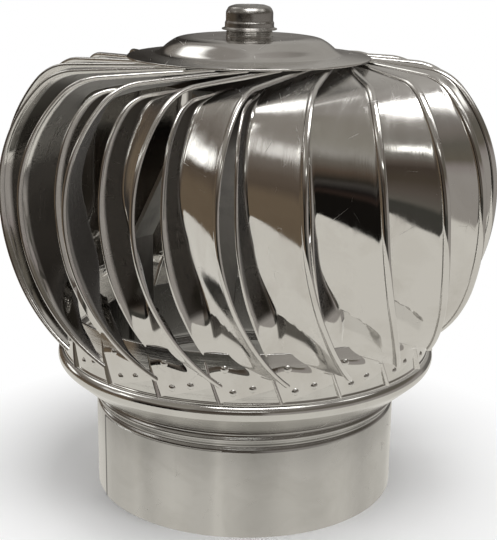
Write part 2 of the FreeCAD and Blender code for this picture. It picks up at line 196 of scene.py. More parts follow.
def smooth_through(places: np.ndarray, values: np.ndarray, at: np.ndarray) -> np.ndarray:
    """A smooth curve through named points.

    Between two points it is the cubic that has, at each of them, the slope of the line
    between its neighbours.

    Args:
        places: Rising positions of the points.
        values: Their values.
        at: Positions to read the curve at.

    Returns:
        The curve's value at each position.
    """
    slopes = np.gradient(values, places)
    index = np.clip(np.searchsorted(places, at) - 1, 0, len(places) - 2)
    span = places[index + 1] - places[index]
    share = np.clip((at - places[index]) / span, 0.0, 1.0)
    square, cube = share ** 2, share ** 3
    return ((2 * cube - 3 * square + 1) * values[index]
            + (cube - 2 * square + share) * span * slopes[index]
            + (3 * square - 2 * cube) * values[index + 1]
            + (cube - square) * span * slopes[index + 1])


def unit(vectors: np.ndarray) -> np.ndarray:
    """Vectors scaled to length one."""
    return vectors / np.maximum(np.linalg.norm(vectors, axis=-1, keepdims=True), 1e-12)


def ease(share: np.ndarray) -> np.ndarray:
    """Smooth step from 0 to 1, flat at both ends."""
    clipped = np.clip(share, 0.0, 1.0)
    return clipped * clipped * (3.0 - 2.0 * clipped)


def turn_about_axis(points: np.ndarray, degrees: float) -> np.ndarray:
    """Turn points that were drawn over +X to face an azimuth."""
    angle = math.radians(degrees - 90.0)
    turn = np.array([[math.cos(angle), math.sin(angle), 0.0],
                     [-math.sin(angle), math.cos(angle), 0.0],
                     [0.0, 0.0, 1.0]])
    return points @ turn


# Finishes

class Sheet:
    """Short way to place and join nodes in a material or a node group."""

    def __init__(self, tree: bpy.types.NodeTree) -> None:
        """Take the tree that nodes go into."""
        self.tree = tree

    def add(self, kind: str, inputs: dict | None = None, **settings: object) -> bpy.types.Node:
        """Place a node.

        Args:
            kind: Node type without the ShaderNode prefix, or a full type name.
            inputs: Socket name or index to a value, or to an output socket to join.
            settings: Attributes of the node.

        Returns:
            The new node.
        """
        full = kind if kind.startswith("Node") else "ShaderNode" + kind
        node = self.tree.nodes.new(full)
        for key, value in settings.items():
            setattr(node, key, value)
        for key, value in (inputs or {}).items():
            if isinstance(value, bpy.types.NodeSocket):
                self.tree.links.new(value, node.inputs[key])
            else:
                node.inputs[key].default_value = value
        return node

    def group(self, tree: bpy.types.NodeTree, inputs: dict) -> bpy.types.Node:
        """Place a node group with the given inputs."""
        return self.add("Group", inputs, node_tree=tree)

    def remap(self, value: bpy.types.NodeSocket, low: float, high: float,
              to_low: float, to_high: float) -> bpy.types.NodeSocket:
        """A value carried from one range to another, clamped."""
        node = self.add("MapRange", {0: value, 1: low, 2: high, 3: to_low, 4: to_high})
        return node.outputs[0]

    def maths(self, operation: str, first: object, second: object) -> bpy.types.NodeSocket:
        """Result of one sum on two values."""
        node = self.add("Math", {0: first, 1: second}, operation=operation)
        return node.outputs[0]

    def tinted(self, part: bpy.types.NodeSocket, under: object,
               over: object) -> bpy.types.NodeSocket:
        """One colour laid over another where a mask says so.

        Args:
            part: Mask, from 0 for the colour below to 1 for the colour on top.
            under: Colour below, as a socket or three numbers.
            over: Colour on top, as a socket or three numbers.

        Returns:
            The mixed colour.
        """
        below, above = [colour if isinstance(colour, bpy.types.NodeSocket) else (*colour, 1.0)
                        for colour in (under, over)]
        node = self.add("Mix", {0: part, 6: below, 7: above}, data_type="RGBA")
        return node.outputs[2]

    def either(self, part: bpy.types.NodeSocket, first: bpy.types.NodeSocket,
               second: bpy.types.NodeSocket) -> bpy.types.NodeSocket:
        """The first shader where a mask is 0 and the second where it is 1."""
        return self.add("MixShader", {0: part, 1: first, 2: second}).outputs[0]

    def glow(self, kind: str, colour: object, strength: float = 1.0) -> bpy.types.NodeSocket:
        """A shader with a colour and a strength: an Emission or a Background."""
        shown = colour if isinstance(colour, bpy.types.NodeSocket) else (*colour, 1.0)
        return self.add(kind, {"Color": shown, "Strength": strength}).outputs[0]


def empty_material(name: str) -> tuple[bpy.types.Material, Sheet]:
    """A new material without nodes, and the sheet that places them."""
    material = bpy.data.materials.new(name)
    material.use_nodes = True
    material.node_tree.nodes.clear()
    return material, Sheet(material.node_tree)


def new_group(name: str, inputs: dict[str, float], outputs: list[str]) -> Sheet:
    """Start a node group.

    Args:
        name: Name of the group.
        inputs: Name of each number input and its usual value.
        outputs: Names of its number outputs.

    Returns:
        A sheet for the group, which also has a vector input named Place.
    """
    tree = bpy.data.node_groups.new(name, "ShaderNodeTree")
    tree.interface.new_socket(name="Place", in_out="INPUT", socket_type="NodeSocketVector")
    for key, value in inputs.items():
        socket = tree.interface.new_socket(name=key, in_out="INPUT",
                                           socket_type="NodeSocketFloat")
        socket.default_value = value
    for key in outputs:
        tree.interface.new_socket(name=key, in_out="OUTPUT", socket_type="NodeSocketFloat")
    return Sheet(tree)


def rubbing_group() -> bpy.types.NodeTree:
    """Fine marks that run one way, as a polishing mop or a brush leaves them.

    Two layers of noise are stretched along the second axis. Their product, which comes
    and goes in broad patches, is the mask Marks.
    """
    sheet = new_group("rubbing_marks", {"Fineness": 900.0, "Stretch": 0.02}, ["Marks"])
    entry = sheet.add("NodeGroupInput")
    squeeze = sheet.add("CombineXYZ", {0: 1.0, 1: entry.outputs["Stretch"], 2: 1.0})
    place = sheet.add("VectorMath", {0: entry.outputs["Place"], 1: squeeze.outputs[0]},
                      operation="MULTIPLY").outputs[0]
    fine = sheet.add("TexNoise", {"Vector": place, "Scale": entry.outputs["Fineness"],
                                  "Detail": 5.0, "Roughness": 0.62})
    coarse_scale = sheet.maths("MULTIPLY", entry.outputs["Fineness"], 0.23)
    coarse = sheet.add("TexNoise", {"Vector": place, "Scale": coarse_scale,
                                    "Detail": 3.0, "Roughness": 0.5})
    both = sheet.maths("MULTIPLY", fine.outputs["Fac"], coarse.outputs["Fac"])
    lines = sheet.remap(both, 0.2, 0.38, 0.0, 1.0)
    patches = sheet.add("TexNoise", {"Vector": entry.outputs["Place"], "Scale": 38.0,
                                     "Detail": 2.0, "Roughness": 0.5})
    gather = sheet.remap(patches.outputs["Fac"], 0.38, 0.68, 0.25, 1.0)
    marks = sheet.maths("MULTIPLY", lines, gather)
    leave = sheet.add("NodeGroupOutput")
    sheet.tree.links.new(marks, leave.inputs["Marks"])
    return sheet.tree


def handling_group() -> bpy.types.NodeTree:
    """Haze from handling and a few thin scratches.

    Smears is broad, soft noise with a bent edge. Scratches are the thin borders between
    long stretched cells, kept only where another noise is high.
    """
    sheet = new_group("handling_marks", {"Smear Scale": 26.0, "Scratch Scale": 60.0},
                      ["Smears", "Scratches"])
    entry = sheet.add("NodeGroupInput")
    smear = sheet.add("TexNoise", {"Vector": entry.outputs["Place"],
                                   "Scale": entry.outputs["Smear Scale"],
                                   "Detail": 4.0, "Roughness": 0.6, "Distortion": 0.7})
    smears = sheet.remap(smear.outputs["Fac"], 0.45, 0.72, 0.0, 1.0)
    slant = sheet.add("Mapping", {"Vector": entry.outputs["Place"],
                                  "Rotation": (0.2, 0.3, 0.45), "Scale": (1.0, 0.16, 1.0)})
    cells = sheet.add("TexVoronoi", {"Vector": slant.outputs[0],
                                     "Scale": entry.outputs["Scratch Scale"]},
                      feature="DISTANCE_TO_EDGE")
    thin = sheet.remap(cells.outputs["Distance"], 0.0, 0.012, 1.0, 0.0)
    rare = sheet.add("TexNoise", {"Vector": entry.outputs["Place"], "Scale": 90.0,
                                  "Detail": 1.0})
    chosen = sheet.remap(rare.outputs["Fac"], 0.56, 0.66, 0.0, 1.0)
    scratches = sheet.maths("MULTIPLY", thin, chosen)
    leave = sheet.add("NodeGroupOutput")
    sheet.tree.links.new(smears, leave.inputs["Smears"])
    sheet.tree.links.new(scratches, leave.inputs["Scratches"])
    return sheet.tree


class MarksFollow(Enum):
    """What the rubbing marks on a finish run along."""

    SHEET = "the piece's own UV map"
    UPRIGHT = "the main axis"
    ROUND = "circles about the main axis"


@dataclass(frozen=True)
class SteelFinish:
    """One finish of bare or plated steel."""

    name: str
    slot: Slot
    colour: tuple[float, float, float]
    dark_colour: tuple[float, float, float]
    smooth_roughness: float
    marked_roughness: float
    follow: MarksFollow
    fineness: float = 900.0
    stretch: float = 0.02
    smear_gain: float = 0.08
    wave_height: float = 0.0
    mark_height: float = 0.00002
    smear_scale: float = 26.0
    scratch_scale: float = 60.0
    scratch_roughness: float = 0.25
    hazy_top: bool = False
    haze_span: tuple[float, float] = (0.238, 0.276)
    haze_roughness: float = 0.16
    shade_and_seam_colour: tuple[float, float, float] | None = None
    dull_roughness: float = 0.16
    mirrors_pass: bool = False     # rays that other steel mirrors go through

    def place(self, sheet: Sheet) -> bpy.types.NodeSocket:
        """Coordinates in which the second axis runs along the marks."""
        source = sheet.add("TexCoord")
        if self.follow is MarksFollow.SHEET:
            return source.outputs["UV"]
        split = sheet.add("SeparateXYZ", {0: source.outputs["Object"]})
        across = sheet.maths("ARCTAN2", split.outputs[0], split.outputs[1])
        run = sheet.maths("MULTIPLY", across, 0.1)
        if self.follow is MarksFollow.UPRIGHT:
            return sheet.add("CombineXYZ", {0: run, 1: split.outputs[2], 2: 0.0}).outputs[0]
        radial = sheet.add("VectorMath", {0: source.outputs["Object"]}, operation="LENGTH")
        return sheet.add("CombineXYZ", {0: radial.outputs["Value"], 1: run,
                                        2: split.outputs[2]}).outputs[0]

    def material(self, rubbing: bpy.types.NodeTree,
                 handling: bpy.types.NodeTree) -> bpy.types.Material:
        """Build the material.

        Args:
            rubbing: Node group of the marks that run one way.
            handling: Node group of haze and scratches.

        Returns:
            The finished material.
        """
        material, sheet = empty_material(self.name)
        solid = sheet.add("TexCoord").outputs["Object"]
        marks = sheet.group(rubbing, {"Place": self.place(sheet), "Fineness": self.fineness,
                                      "Stretch": self.stretch}).outputs["Marks"]
        haze = sheet.group(handling, {"Place": solid, "Smear Scale": self.smear_scale,
                                      "Scratch Scale": self.scratch_scale})
        smears, scratches = haze.outputs["Smears"], haze.outputs["Scratches"]
        shown = sheet.tinted(smears, self.colour, self.dark_colour)
        layers = [sheet.maths("MULTIPLY", smears, self.smear_gain),
                  sheet.maths("MULTIPLY", scratches, self.scratch_roughness)]
        if self.hazy_top:
            height = sheet.add("SeparateXYZ", {0: solid}).outputs[2]
            layers.append(sheet.remap(height, *self.haze_span, 0.0, self.haze_roughness))
        # The shade attribute paints shade into the colour; on the spigot it also draws the dark
        # seam.
        if self.shade_and_seam_colour is not None:
            darkening = sheet.add("Attribute", attribute_name="shade").outputs["Fac"]
            shown = sheet.tinted(darkening, shown, self.shade_and_seam_colour)
            layers.append(sheet.maths("MULTIPLY", darkening, self.dull_roughness))
        rough = sheet.remap(marks, 0.0, 1.0, self.smooth_roughness, self.marked_roughness)
        for layer in layers:
            rough = sheet.maths("ADD", rough, layer)
        steel = sheet.add("BsdfPrincipled", {
            "Base Color": shown, "Metallic": 1.0, "Roughness": rough,
            "Normal": self.relief(sheet, marks, solid)})
        surface = steel.outputs[0]
        if self.mirrors_pass:
            surface = sheet.either(sheet.add("LightPath").outputs["Is Glossy Ray"], surface,
                                   sheet.add("BsdfTransparent").outputs[0])
        sheet.add("OutputMaterial", {"Surface": surface})
        return material

    def relief(self, sheet: Sheet, marks: bpy.types.NodeSocket,
               solid: bpy.types.NodeSocket) -> bpy.types.NodeSocket:
        """Normal of the marks, with the sheet's slow waves under them.

        Args:
            sheet: The material's nodes.
            marks: Mask of the rubbing marks.
            solid: Place on the object.

        Returns:
            The normal.
        """
        height = sheet.maths("MULTIPLY", marks, self.mark_height)
        if self.wave_height:
            wave = sheet.add("TexNoise", {"Vector": solid, "Scale": 22.0, "Detail": 1.0})
            swell = sheet.maths("MULTIPLY", wave.outputs["Fac"], self.wave_height)
            height = sheet.maths("ADD", height, swell)
        return sheet.add("Bump", {"Height": height, "Strength": 1.0,
                                  "Distance": 1.0}).outputs[0]


# Its near-black colour paints shade on the louvres' flanges, folds, backs and pressed-in corners.
MIRROR_SHEET = SteelFinish(
    "mirror_sheet", Slot.POLISHED, (0.73, 0.715, 0.69), (0.66, 0.64, 0.61), 0.045, 0.13,
    MarksFollow.SHEET, fineness=1100.0, stretch=0.012, smear_gain=0.05,
    wave_height=0.0006, hazy_top=True, shade_and_seam_colour=(0.085, 0.079, 0.07),
    mirrors_pass=True)
# Its near-black colour draws the spigot's dark seam and paints shade and reflection streaks on it.
SATIN_SHEET = SteelFinish(
    "satin_sheet", Slot.SATIN, (0.68, 0.67, 0.65), (0.61, 0.6, 0.575), 0.12, 0.22,
    MarksFollow.UPRIGHT, fineness=900.0, stretch=0.01, smear_gain=0.05, wave_height=0.0002,
    mark_height=0.000004, shade_and_seam_colour=(0.02, 0.019, 0.018))
BRIGHT_RING = SteelFinish(
    "bright_ring", Slot.SATIN, (0.71, 0.70, 0.675), (0.64, 0.625, 0.6), 0.1, 0.22,
    MarksFollow.ROUND, fineness=800.0, stretch=0.02, smear_gain=0.06, wave_height=0.0004,
    mirrors_pass=True)
SPUN_PLATE = SteelFinish(
    "spun_plate", Slot.SATIN, (0.68, 0.665, 0.64), (0.6, 0.585, 0.56), 0.11, 0.2,
    MarksFollow.ROUND, fineness=700.0, stretch=0.02, smear_gain=0.08, wave_height=0.0003)
CAP_STEEL = SteelFinish(
    "cap_steel", Slot.SATIN, (0.42, 0.405, 0.385), (0.32, 0.305, 0.285), 0.24, 0.42,
    MarksFollow.ROUND, fineness=800.0, stretch=0.02, smear_gain=0.1)
MACHINED_STEEL = SteelFinish(
    "machined_steel", Slot.TURNED, (0.52, 0.51, 0.49), (0.4, 0.39, 0.37), 0.18, 0.32,
    MarksFollow.ROUND, fineness=1200.0, stretch=0.02, smear_gain=0.1)
SHADED_BAND = SteelFinish(
    "shaded_band", Slot.SATIN, (0.07, 0.065, 0.06), (0.05, 0.047, 0.044), 0.3, 0.45,
    MarksFollow.ROUND, fineness=800.0, stretch=0.02, smear_gain=0.1)
# The bars' colour is painted far darker than zinc's, as shade inside the cap.
ZINC_BAR = SteelFinish(
    "zinc_bar", Slot.ZINC, (0.2, 0.194, 0.182), (0.14, 0.136, 0.128), 0.34, 0.5,
    MarksFollow.UPRIGHT, fineness=500.0, stretch=0.1, smear_gain=0.15)


class Finishes:
    """All materials of the cap, each built once."""

    def __init__(self) -> None:
        """Build the shared node groups."""
        self.rubbing = rubbing_group()
        self.handling = handling_group()
        self.made: dict[str, bpy.types.Material] = {}

    def dress(self, piece: bpy.types.Object, finish: SteelFinish) -> None:
        """Give a piece or a CAD node one finish."""
        if finish.name not in self.made:
            self.made[finish.name] = finish.material(self.rubbing, self.handling)
        piece.data.materials.clear()
        piece.data.materials.append(self.made[finish.name])


def settle(piece: bpy.types.Object, finish: SteelFinish, finishes: Finishes, body: Body,
           *nodes: str) -> None:
    """Dress a piece, hang it on a body and let it stand for CAD nodes.

    Args:
        piece: The new piece.
        finish: Its finish.
        finishes: The materials.
        body: The body that it moves with.
        nodes: CAD nodes that it replaces.
    """
    finishes.dress(piece, finish)
    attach(piece, body.value)
    if nodes:
        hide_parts(*nodes)
    LOG.info("%s: %d faces", piece.name, len(piece.data.polygons))


# Pieces

@dataclass
class Spigot:
    """Rolled tube with a swaged groove and bead, lapped along one line."""

    radius: float = 100.0
    wall: float = 0.8
    height: float = 110.0
    joint_length: float = 58.0
    groove_depth: float = 1.4
    bead_rise: float = 1.3
    half_wave: float = 2.4
    lap_azimuth: float = -64.0
    lap_fade: float = 46.0
    lap_step: float = 0.7
    seam_half_angle: float = 1.1
    edge_break: float = 0.3
    steps_round: int = 720
    # azimuth, half width in degrees and strength of each painted bright reflection streak
    streaks: tuple[tuple[float, float, float], ...] = ((-42.0, 3.0, 0.1), (-9.0, 2.0, 0.12))
    shadow_depth: float = 16.0

    def wall_line(self, height: np.ndarray) -> np.ndarray:
        """Outer radius at a height: a smooth dip and then a smooth swell."""
        dip = (height - self.joint_length - self.half_wave) / self.half_wave
        swell = (height - self.joint_length - 3 * self.half_wave) / self.half_wave
        return (self.radius - self.groove_depth * np.exp(-2.2 * dip ** 2)
                + self.bead_rise * np.exp(-2.2 * swell ** 2))

    def below_swage(self, height: np.ndarray) -> np.ndarray:
        """Whether a height lies on the plain tube."""
        return height < self.joint_length - 1.0

    def shade(self, azimuth: np.ndarray, height: np.ndarray) -> np.ndarray:
        """How dark the tube is: the seam, painted streaks and painted shade under the swage.

        The streaks are painted reflections: two slow waves round the tube, less a bell for
        each bright one.

        Args:
            azimuth: Column of azimuths round the tube.
            height: Heights up the tube.

        Returns:
            Values for the outside and then the inside, which is painted evenly dark as shade.
        """
        across = (azimuth + 180.0) % 360.0 - 180.0
        from_seam = np.abs(across - self.lap_azimuth) / self.seam_half_angle
        seam = np.exp(-from_seam ** 4) * self.below_swage(height)
        # Painted reflections: slow waves of darker and lighter tone, brighter at each listed
        # streak.
        streaks = (0.12 + 0.05 * np.sin(np.radians(across * 7.0) + 1.0)
                   + 0.045 * np.sin(np.radians(across * 17.0)))
        for middle, half_width, strength in self.streaks:
            streaks = streaks - strength * np.exp(-((across - middle) / half_width) ** 2)
        shadow = 0.2 * np.exp(-((self.joint_length - height) / self.shadow_depth) ** 2)
        outside = np.clip(np.maximum(seam, streaks + shadow), 0.0, 1.0)
        # The inside is painted evenly dark as shade.
        return np.concatenate([outside, np.full_like(outside, 0.6)], axis=1)

    def build(self, finishes: Finishes) -> None:
        """Tube wall as a loop up the outside and down the inside, turned about the axis.

        The lap adds a step to the radius at one azimuth, which fades away round the tube.
        """
        swage = np.linspace(self.joint_length - 2.0, self.joint_length + 12.0, 37)
        height = np.r_[0.0, 0.4, np.linspace(2.0, 54.0, 10), swage,
                       np.linspace(74.0, self.height - 0.4, 6), self.height]
        outer = self.wall_line(height)
        outer[[0, -1]] -= self.edge_break
        azimuth = np.linspace(0.0, 360.0, self.steps_round, endpoint=False)[:, None]
        since = (azimuth - self.lap_azimuth) % 360.0
        lap = self.lap_step * np.exp(-since / self.lap_fade) * self.below_swage(height)
        outside = outer[None, :] + lap
        inside = np.broadcast_to(outer[None, ::-1] - self.wall, outside.shape)
        radius = np.concatenate([outside, inside], axis=1) * MM
        level = np.r_[height, height[::-1]][None, :] * MM
        angle = np.radians(azimuth)
        points = np.stack([radius * np.sin(angle), -radius * np.cos(angle),
                           np.broadcast_to(level, radius.shape)], axis=-1)
        faces = loop_faces(self.steps_round, radius.shape[1], closed_rows=True).tolist()
        piece = make_piece("spigot_tube", points, faces, crease=24.0,
                           shade=self.shade(azimuth, height))
        settle(piece, SATIN_SHEET, finishes, Body.BASE, "spigot")


@dataclass
class RotorRings:
    """Turned sheet parts of the rotor: bowl, ring, plate and cap."""

    ring_foot: tuple[float, float] = (120.9, 97.0)
    ring_top: tuple[float, float] = (121.9, 128.0)
    flange: float = 113.2
    plate_sheet: float = 1.2

    def skirt(self, finishes: Finishes) -> None:
        """Flared bowl with a rolled shoulder under the ring."""
        outside = [(102.9, 69.9), (108.0, 73.5), (119.4, 83.6), (123.6, 87.4), (125.0, 90.0),
                   (124.9, 93.0), (123.2, 95.4), (121.8, 95.9), (113.2, 95.8)]
        inside = [(radius - 0.9, height - 0.75) for radius, height in outside[-2:0:-1]]
        inside = [(113.2, 94.9), *inside, (102.0, 69.9)]
        piece = turned("skirt_bowl", rounded(outside + inside, 1.6))
        settle(piece, BRIGHT_RING, finishes, Body.ROTOR, "skirt")

    def ring(self, finishes: Finishes) -> None:
        """Steep ring with a foot flange and a folded upper lip."""
        foot, top = self.ring_foot, self.ring_top
        corners = [(self.flange, 95.85), (foot[0] + 0.6, 95.85), (foot[0] + 0.6, 96.7),
                   (foot[0], 97.6), top, (top[0] - 2.0, top[1]), (top[0] - 2.0, top[1] - 3.0),
                   (top[0] - 0.9, top[1] - 3.0), (foot[0] - 1.0, 97.4), (foot[0] - 1.6, 96.8),
                   (self.flange, 96.8)]
        piece = turned("base_ring", rounded(corners, 0.35))
        settle(piece, BRIGHT_RING, finishes, Body.ROTOR, "base_cone")

    def plate(self, finishes: Finishes) -> None:
        """Shallow cone with a pressed dome."""
        upper = [(77.0, 284.8), (70.0, 285.6), (58.5, 286.8), (55.6, 288.6), (51.0, 292.6),
                 (46.0, 295.6), (38.0, 296.8), (26.0, 296.6), (14.8, 296.8)]
        lower = [(radius, height - self.plate_sheet) for radius, height in reversed(upper)]
        piece = turned("dome_plate", rounded(upper + lower, 3.2, 7))
        settle(piece, SPUN_PLATE, finishes, Body.ROTOR, "top_plate")

    def cap(self, finishes: Finishes) -> None:
        """Drawn cap with a round top over the bearing neck."""
        outline = [(0.0, 316.2), (9.5, 316.2), (13.2, 315.0), (14.9, 312.0), (14.9, 306.4),
                   (15.5, 305.4), (15.5, 302.2), (17.4, 301.8), (17.4, 301.0), (14.8, 301.0),
                   (14.8, 305.2), (14.1, 305.4), (14.1, 312.0), (12.6, 314.4), (9.4, 315.4),
                   (0.0, 315.4)]
        curve = rounded(outline[1:-1], 1.2, 5)
        closed = np.vstack([[0.0, 316.2], curve, [0.0, 315.4]])
        piece = turned("hub_cap", closed, 160)
        settle(piece, CAP_STEEL, finishes, Body.ROTOR, "bearing_cap")


@dataclass
class BearingNeck:
    """Housing for the bearings, with ridges round its neck."""

    radius: float = 14.7
    bore: float = 13.0
    lip_bore: float = 10.8
    foot: float = 268.0
    top: float = 305.0
    flange_radius: float = 22.0
    flange_foot: float = 293.0
    flange_top: float = 295.6
    ridge_foot: float = 297.2
    ridge_top: float = 300.8
    ridge_pitch: float = 1.2
    ridge_depth: float = 0.45

    def build(self, finishes: Finishes) -> None:
        """Closed outline whose neck radius dips as the cosine of the height."""
        level = np.linspace(self.ridge_foot, self.ridge_top, 28)
        wave = 0.5 - 0.5 * np.cos((level - self.ridge_foot) / self.ridge_pitch * 2 * math.pi)
        neck = np.stack([self.radius - self.ridge_depth * wave, level], axis=-1)
        below = [(self.lip_bore, self.foot), (self.radius, self.foot),
                 (self.radius, self.flange_foot), (self.flange_radius, self.flange_foot),
                 (self.flange_radius, self.flange_top), (self.radius, self.flange_top)]
        above = [(self.radius, self.top), (self.bore, self.top), (self.bore, self.foot + 2.0),
                 (self.lip_bore, self.foot + 2.0)]
        piece = turned("bearing_neck", np.vstack([below, neck, above]), 128)
        settle(piece, MACHINED_STEEL, finishes, Body.ROTOR, "bearing_housing")


# Points in a louvre's loop that get painted shade, and those that its tab hangs from
FLANGE = slice(8, 14)          # the flange's face
FOLD = slice(14, 17)           # the first points of the fold
CORNER = slice(17, 44)         # the end of the fold, and the panel short of its bead
BACK_POINTS = 24               # at the loop's end
TAB_TOP = slice(3, 48)         # from the hem's middle to the start of the bead


@dataclass
class Louvres:
    """The louvres: folded strips on three bends, each with a bead, a hem and a tab."""

    count: int = 21
    front_azimuth: float = -26.4
    equator_radius: float = 149.0
    equator_height: float = 205.0
    lower_bend: float = 120.0
    upper_bend: float = 92.0
    upper_sweep: float = 44.0
    shoulder_bend: float = 34.9
    shoulder_sweep: float = 43.0
    foot_turn: float = -52.0
    band_radius: float = 65.9
    sheet: float = 0.6
    bead_half_width: float = 2.3
    bead_half_height: float = 1.45
    hem_radius: float = 0.95
    fold_radius: float = 3.2
    stations: int = 120
    peak_turn: float = -31.0       # where the valley meets the pressed-in corner
    crease_fall: float = 14.0      # how far the crease falls from there to the free edge
    dent_depth: float = 4.4
    dent_spread: float = 0.6
    dent_rise: tuple[float, float] = (5.0, 26.0)      # below the crease, above the foot
    dent_edge: tuple[float, float] = (0.86, 0.5)      # share across where it ends, and fades
    swell_height: float = 0.35
    swell_spread: float = 0.05
    swell_length: float = 31.0
    ditch: tuple[float, float, float] = (0.3, 0.985, 0.02)   # depth, share across, width
    flange_fade: tuple[float, float] = (5.0, 7.0)     # past the crease, and over how far
    corner_edge: tuple[float, float] = (0.8, 0.08)
    corner_depth: tuple[float, float, float] = (24.0, 9.0, 3.0)
    # Painted shade of the pressed-in corner, from 0 to 1:
    painted_corner_shade: tuple[float, float] = (0.94, 0.12)  # facing the left front, and elsewhere
    foot_skew: float = 19.0        # how much higher the valley ends than the free edge
    tab_turns: tuple[float, float] = (19.4, 35.0)
    tab_heights: tuple[float, float] = (97.3, 107.0)
    tab_steps: tuple[int, int] = (40, 22)
    left_front: tuple[float, float] = (-110.0, 0.0)
    ring: RotorRings = field(default_factory=RotorRings)
    # turn, straight run, then the sideways places of free edge, valley and hem, with the
    # depths of the last two below the free edge
    sections: tuple[tuple[float, ...], ...] = (
        (-60.0, 0.0, 83.5, 3.0, 42.0, 1.5, 37.0),
        (-45.0, 0.0, 76.5, 4.5, 38.5, 1.5, 32.0),
        (-30.0, 0.0, 68.8, 15.6, 35.4, 5.0, 25.3),
        (-24.0, 0.0, 65.5, 24.0, 29.6, 6.5, 22.6),
        (-7.0, 0.0, 58.7, 29.0, 22.6, 10.0, 17.5),
        (10.0, 0.0, 56.2, 26.0, 18.8, 10.0, 16.2),
        (44.0, 0.0, 54.8, 20.5, 17.0, 7.0, 15.6),
        (87.0, 0.0, 55.6, 12.5, 19.5, 8.0, 17.6),
        (87.0, 70.0, 57.5, 9.5, 21.5, 8.6, 19.5),
    )

    def travel_of(self, turn: np.ndarray, run: np.ndarray) -> np.ndarray:
        """Distance along the free edge from the equator to a turn and a straight run."""
        below = np.radians(np.minimum(turn, 0.0)) * self.lower_bend
        above = np.radians(np.clip(turn, 0.0, self.upper_sweep)) * self.upper_bend
        over = np.radians(np.maximum(turn - self.upper_sweep, 0.0)) * self.shoulder_bend
        return below + above + over + run

    def edge_line(self, travel: np.ndarray) -> tuple[np.ndarray, np.ndarray]:
        """Free edge's line in the vane's own plane, with its outward direction.

        Each bend is a circle about its centre, and the last stretch is straight along the
        shoulder's tangent.

        Args:
            travel: Distances from the equator, in millimetres.

        Returns:
            Points and unit vectors, each as (square distance from the axis, 0, height).
        """
        top_turn = self.upper_sweep + self.shoulder_sweep
        knots = np.array([-90.0, 0.0, self.upper_sweep, top_turn])
        at_knots = self.travel_of(knots, np.zeros(4))
        turn = np.interp(travel, at_knots, knots)
        run = np.maximum(travel - at_knots[-1], 0.0)
        angle = np.radians(turn)
        outward = np.stack([np.cos(angle), 0 * angle, np.sin(angle)], axis=-1)
        inward = np.stack([-np.sin(angle), 0 * angle, np.cos(angle)], axis=-1)
        base = np.array([self.equator_radius, 0.0, self.equator_height])
        sideways = np.array([1.0, 0.0, 0.0])
        lower = base - sideways * self.lower_bend
        upper = base - sideways * self.upper_bend
        lean = math.radians(self.upper_sweep)
        shoulder = upper + np.array([math.cos(lean), 0.0, math.sin(lean)]) * (
            self.upper_bend - self.shoulder_bend)
        stretch = [turn < 0.0, turn <= self.upper_sweep]
        bend = np.select(stretch, [self.lower_bend, self.upper_bend], self.shoulder_bend)
        centre = np.where(stretch[0][:, None], lower,
                          np.where(stretch[1][:, None], upper, shoulder))
        return centre + outward * bend[:, None] + inward * run[:, None], outward

    def lines(self) -> tuple[np.ndarray, np.ndarray, np.ndarray, np.ndarray, np.ndarray]:
        """Free edge, valley and hem of a vane drawn over +X.

        Returns:
            The three lines, the outward direction along them and the distance travelled.
        """
        table = np.array(self.sections)
        knots = self.travel_of(table[:, 0], table[:, 1])
        start = self.travel_of(np.array([self.foot_turn]), np.zeros(1))[0]
        end = knots[-1]
        travel = np.linspace(start, end, self.stations)
        rise = self.foot_skew * np.clip((travel[0] * 0.38 - travel) / (-0.62 * start),
                                        0.0, 1.0) ** 1.5
        raised = travel + rise
        side = np.array([0.0, 1.0, 0.0])

        def read(column: int, at: np.ndarray) -> np.ndarray:
            """One column of the sections at the given travels, as a column of numbers."""
            return smooth_through(knots, table[:, column], at)[:, None]

        place, outward = self.edge_line(travel)
        edge = place + side * read(2, travel)
        place, inner = self.edge_line(raised)
        valley = place + side * read(4, raised) - inner * read(3, raised)
        hem = place + side * read(6, raised) - inner * read(5, raised)
        return edge, valley, hem, outward, travel

    def below_crease(self, travel: np.ndarray, share: np.ndarray) -> np.ndarray:
        """Distance below the crease, which falls across the panel as share to the 1.5."""
        peak = self.travel_of(np.array([self.peak_turn]), np.zeros(1))[0]
        return peak - self.crease_fall * share[None, :] ** 1.5 - travel[:, None]

    def panel_lift(self, travel: np.ndarray, share: np.ndarray, dent: float,
                   wave: float) -> np.ndarray:
        """Height of the panel over the flat between its valley and its bead.

        It is the sum of a corner pressed in below the crease, a parabolic swell across
        the panel and a narrow ditch beside the bead.

        Args:
            travel: Distance along the strip for each loop.
            share: Place across the panel, from valley to bead.
            dent: Depth of the pressed-in corner.
            wave: Height of the swell.

        Returns:
            One height for each loop and each place across.
        """
        crease_rise, foot_rise = self.dent_rise
        ends, fades = self.dent_edge
        pocket = (-dent * ease(self.below_crease(travel, share) / crease_rise)
                  * ease((travel[:, None] - travel[0]) / foot_rise)
                  * ease((ends - share[None, :]) / fades))
        swell = (wave * 4 * share * (1 - share))[None, :] * (
            1.0 + 0.1 * np.sin(travel[:, None] / self.swell_length))
        depth, middle, width = self.ditch
        ditch = -depth * np.exp(-((share - middle) / width) ** 2)[None, :]
        return pocket + swell + ditch

    def painted_shade(self, travel: np.ndarray, share: np.ndarray, columns: int,
                 corner_shade: float) -> np.ndarray:
        """How much painted shade darkens each point of the strip.

        The flange's face and the whole back are painted dark as shade, and the fold fades
        to bright. Below the crease the flange is bright; the pressed-in corner gets painted shade.

        Args:
            travel: Distance along the strip for each loop.
            share: Place across the panel, from valley to bead.
            columns: Points in a loop.
            corner_shade: How much painted shade the pressed-in corner gets, from 0 to 1.

        Returns:
            One value for each loop and each point.
        """
        below = self.below_crease(travel, share)
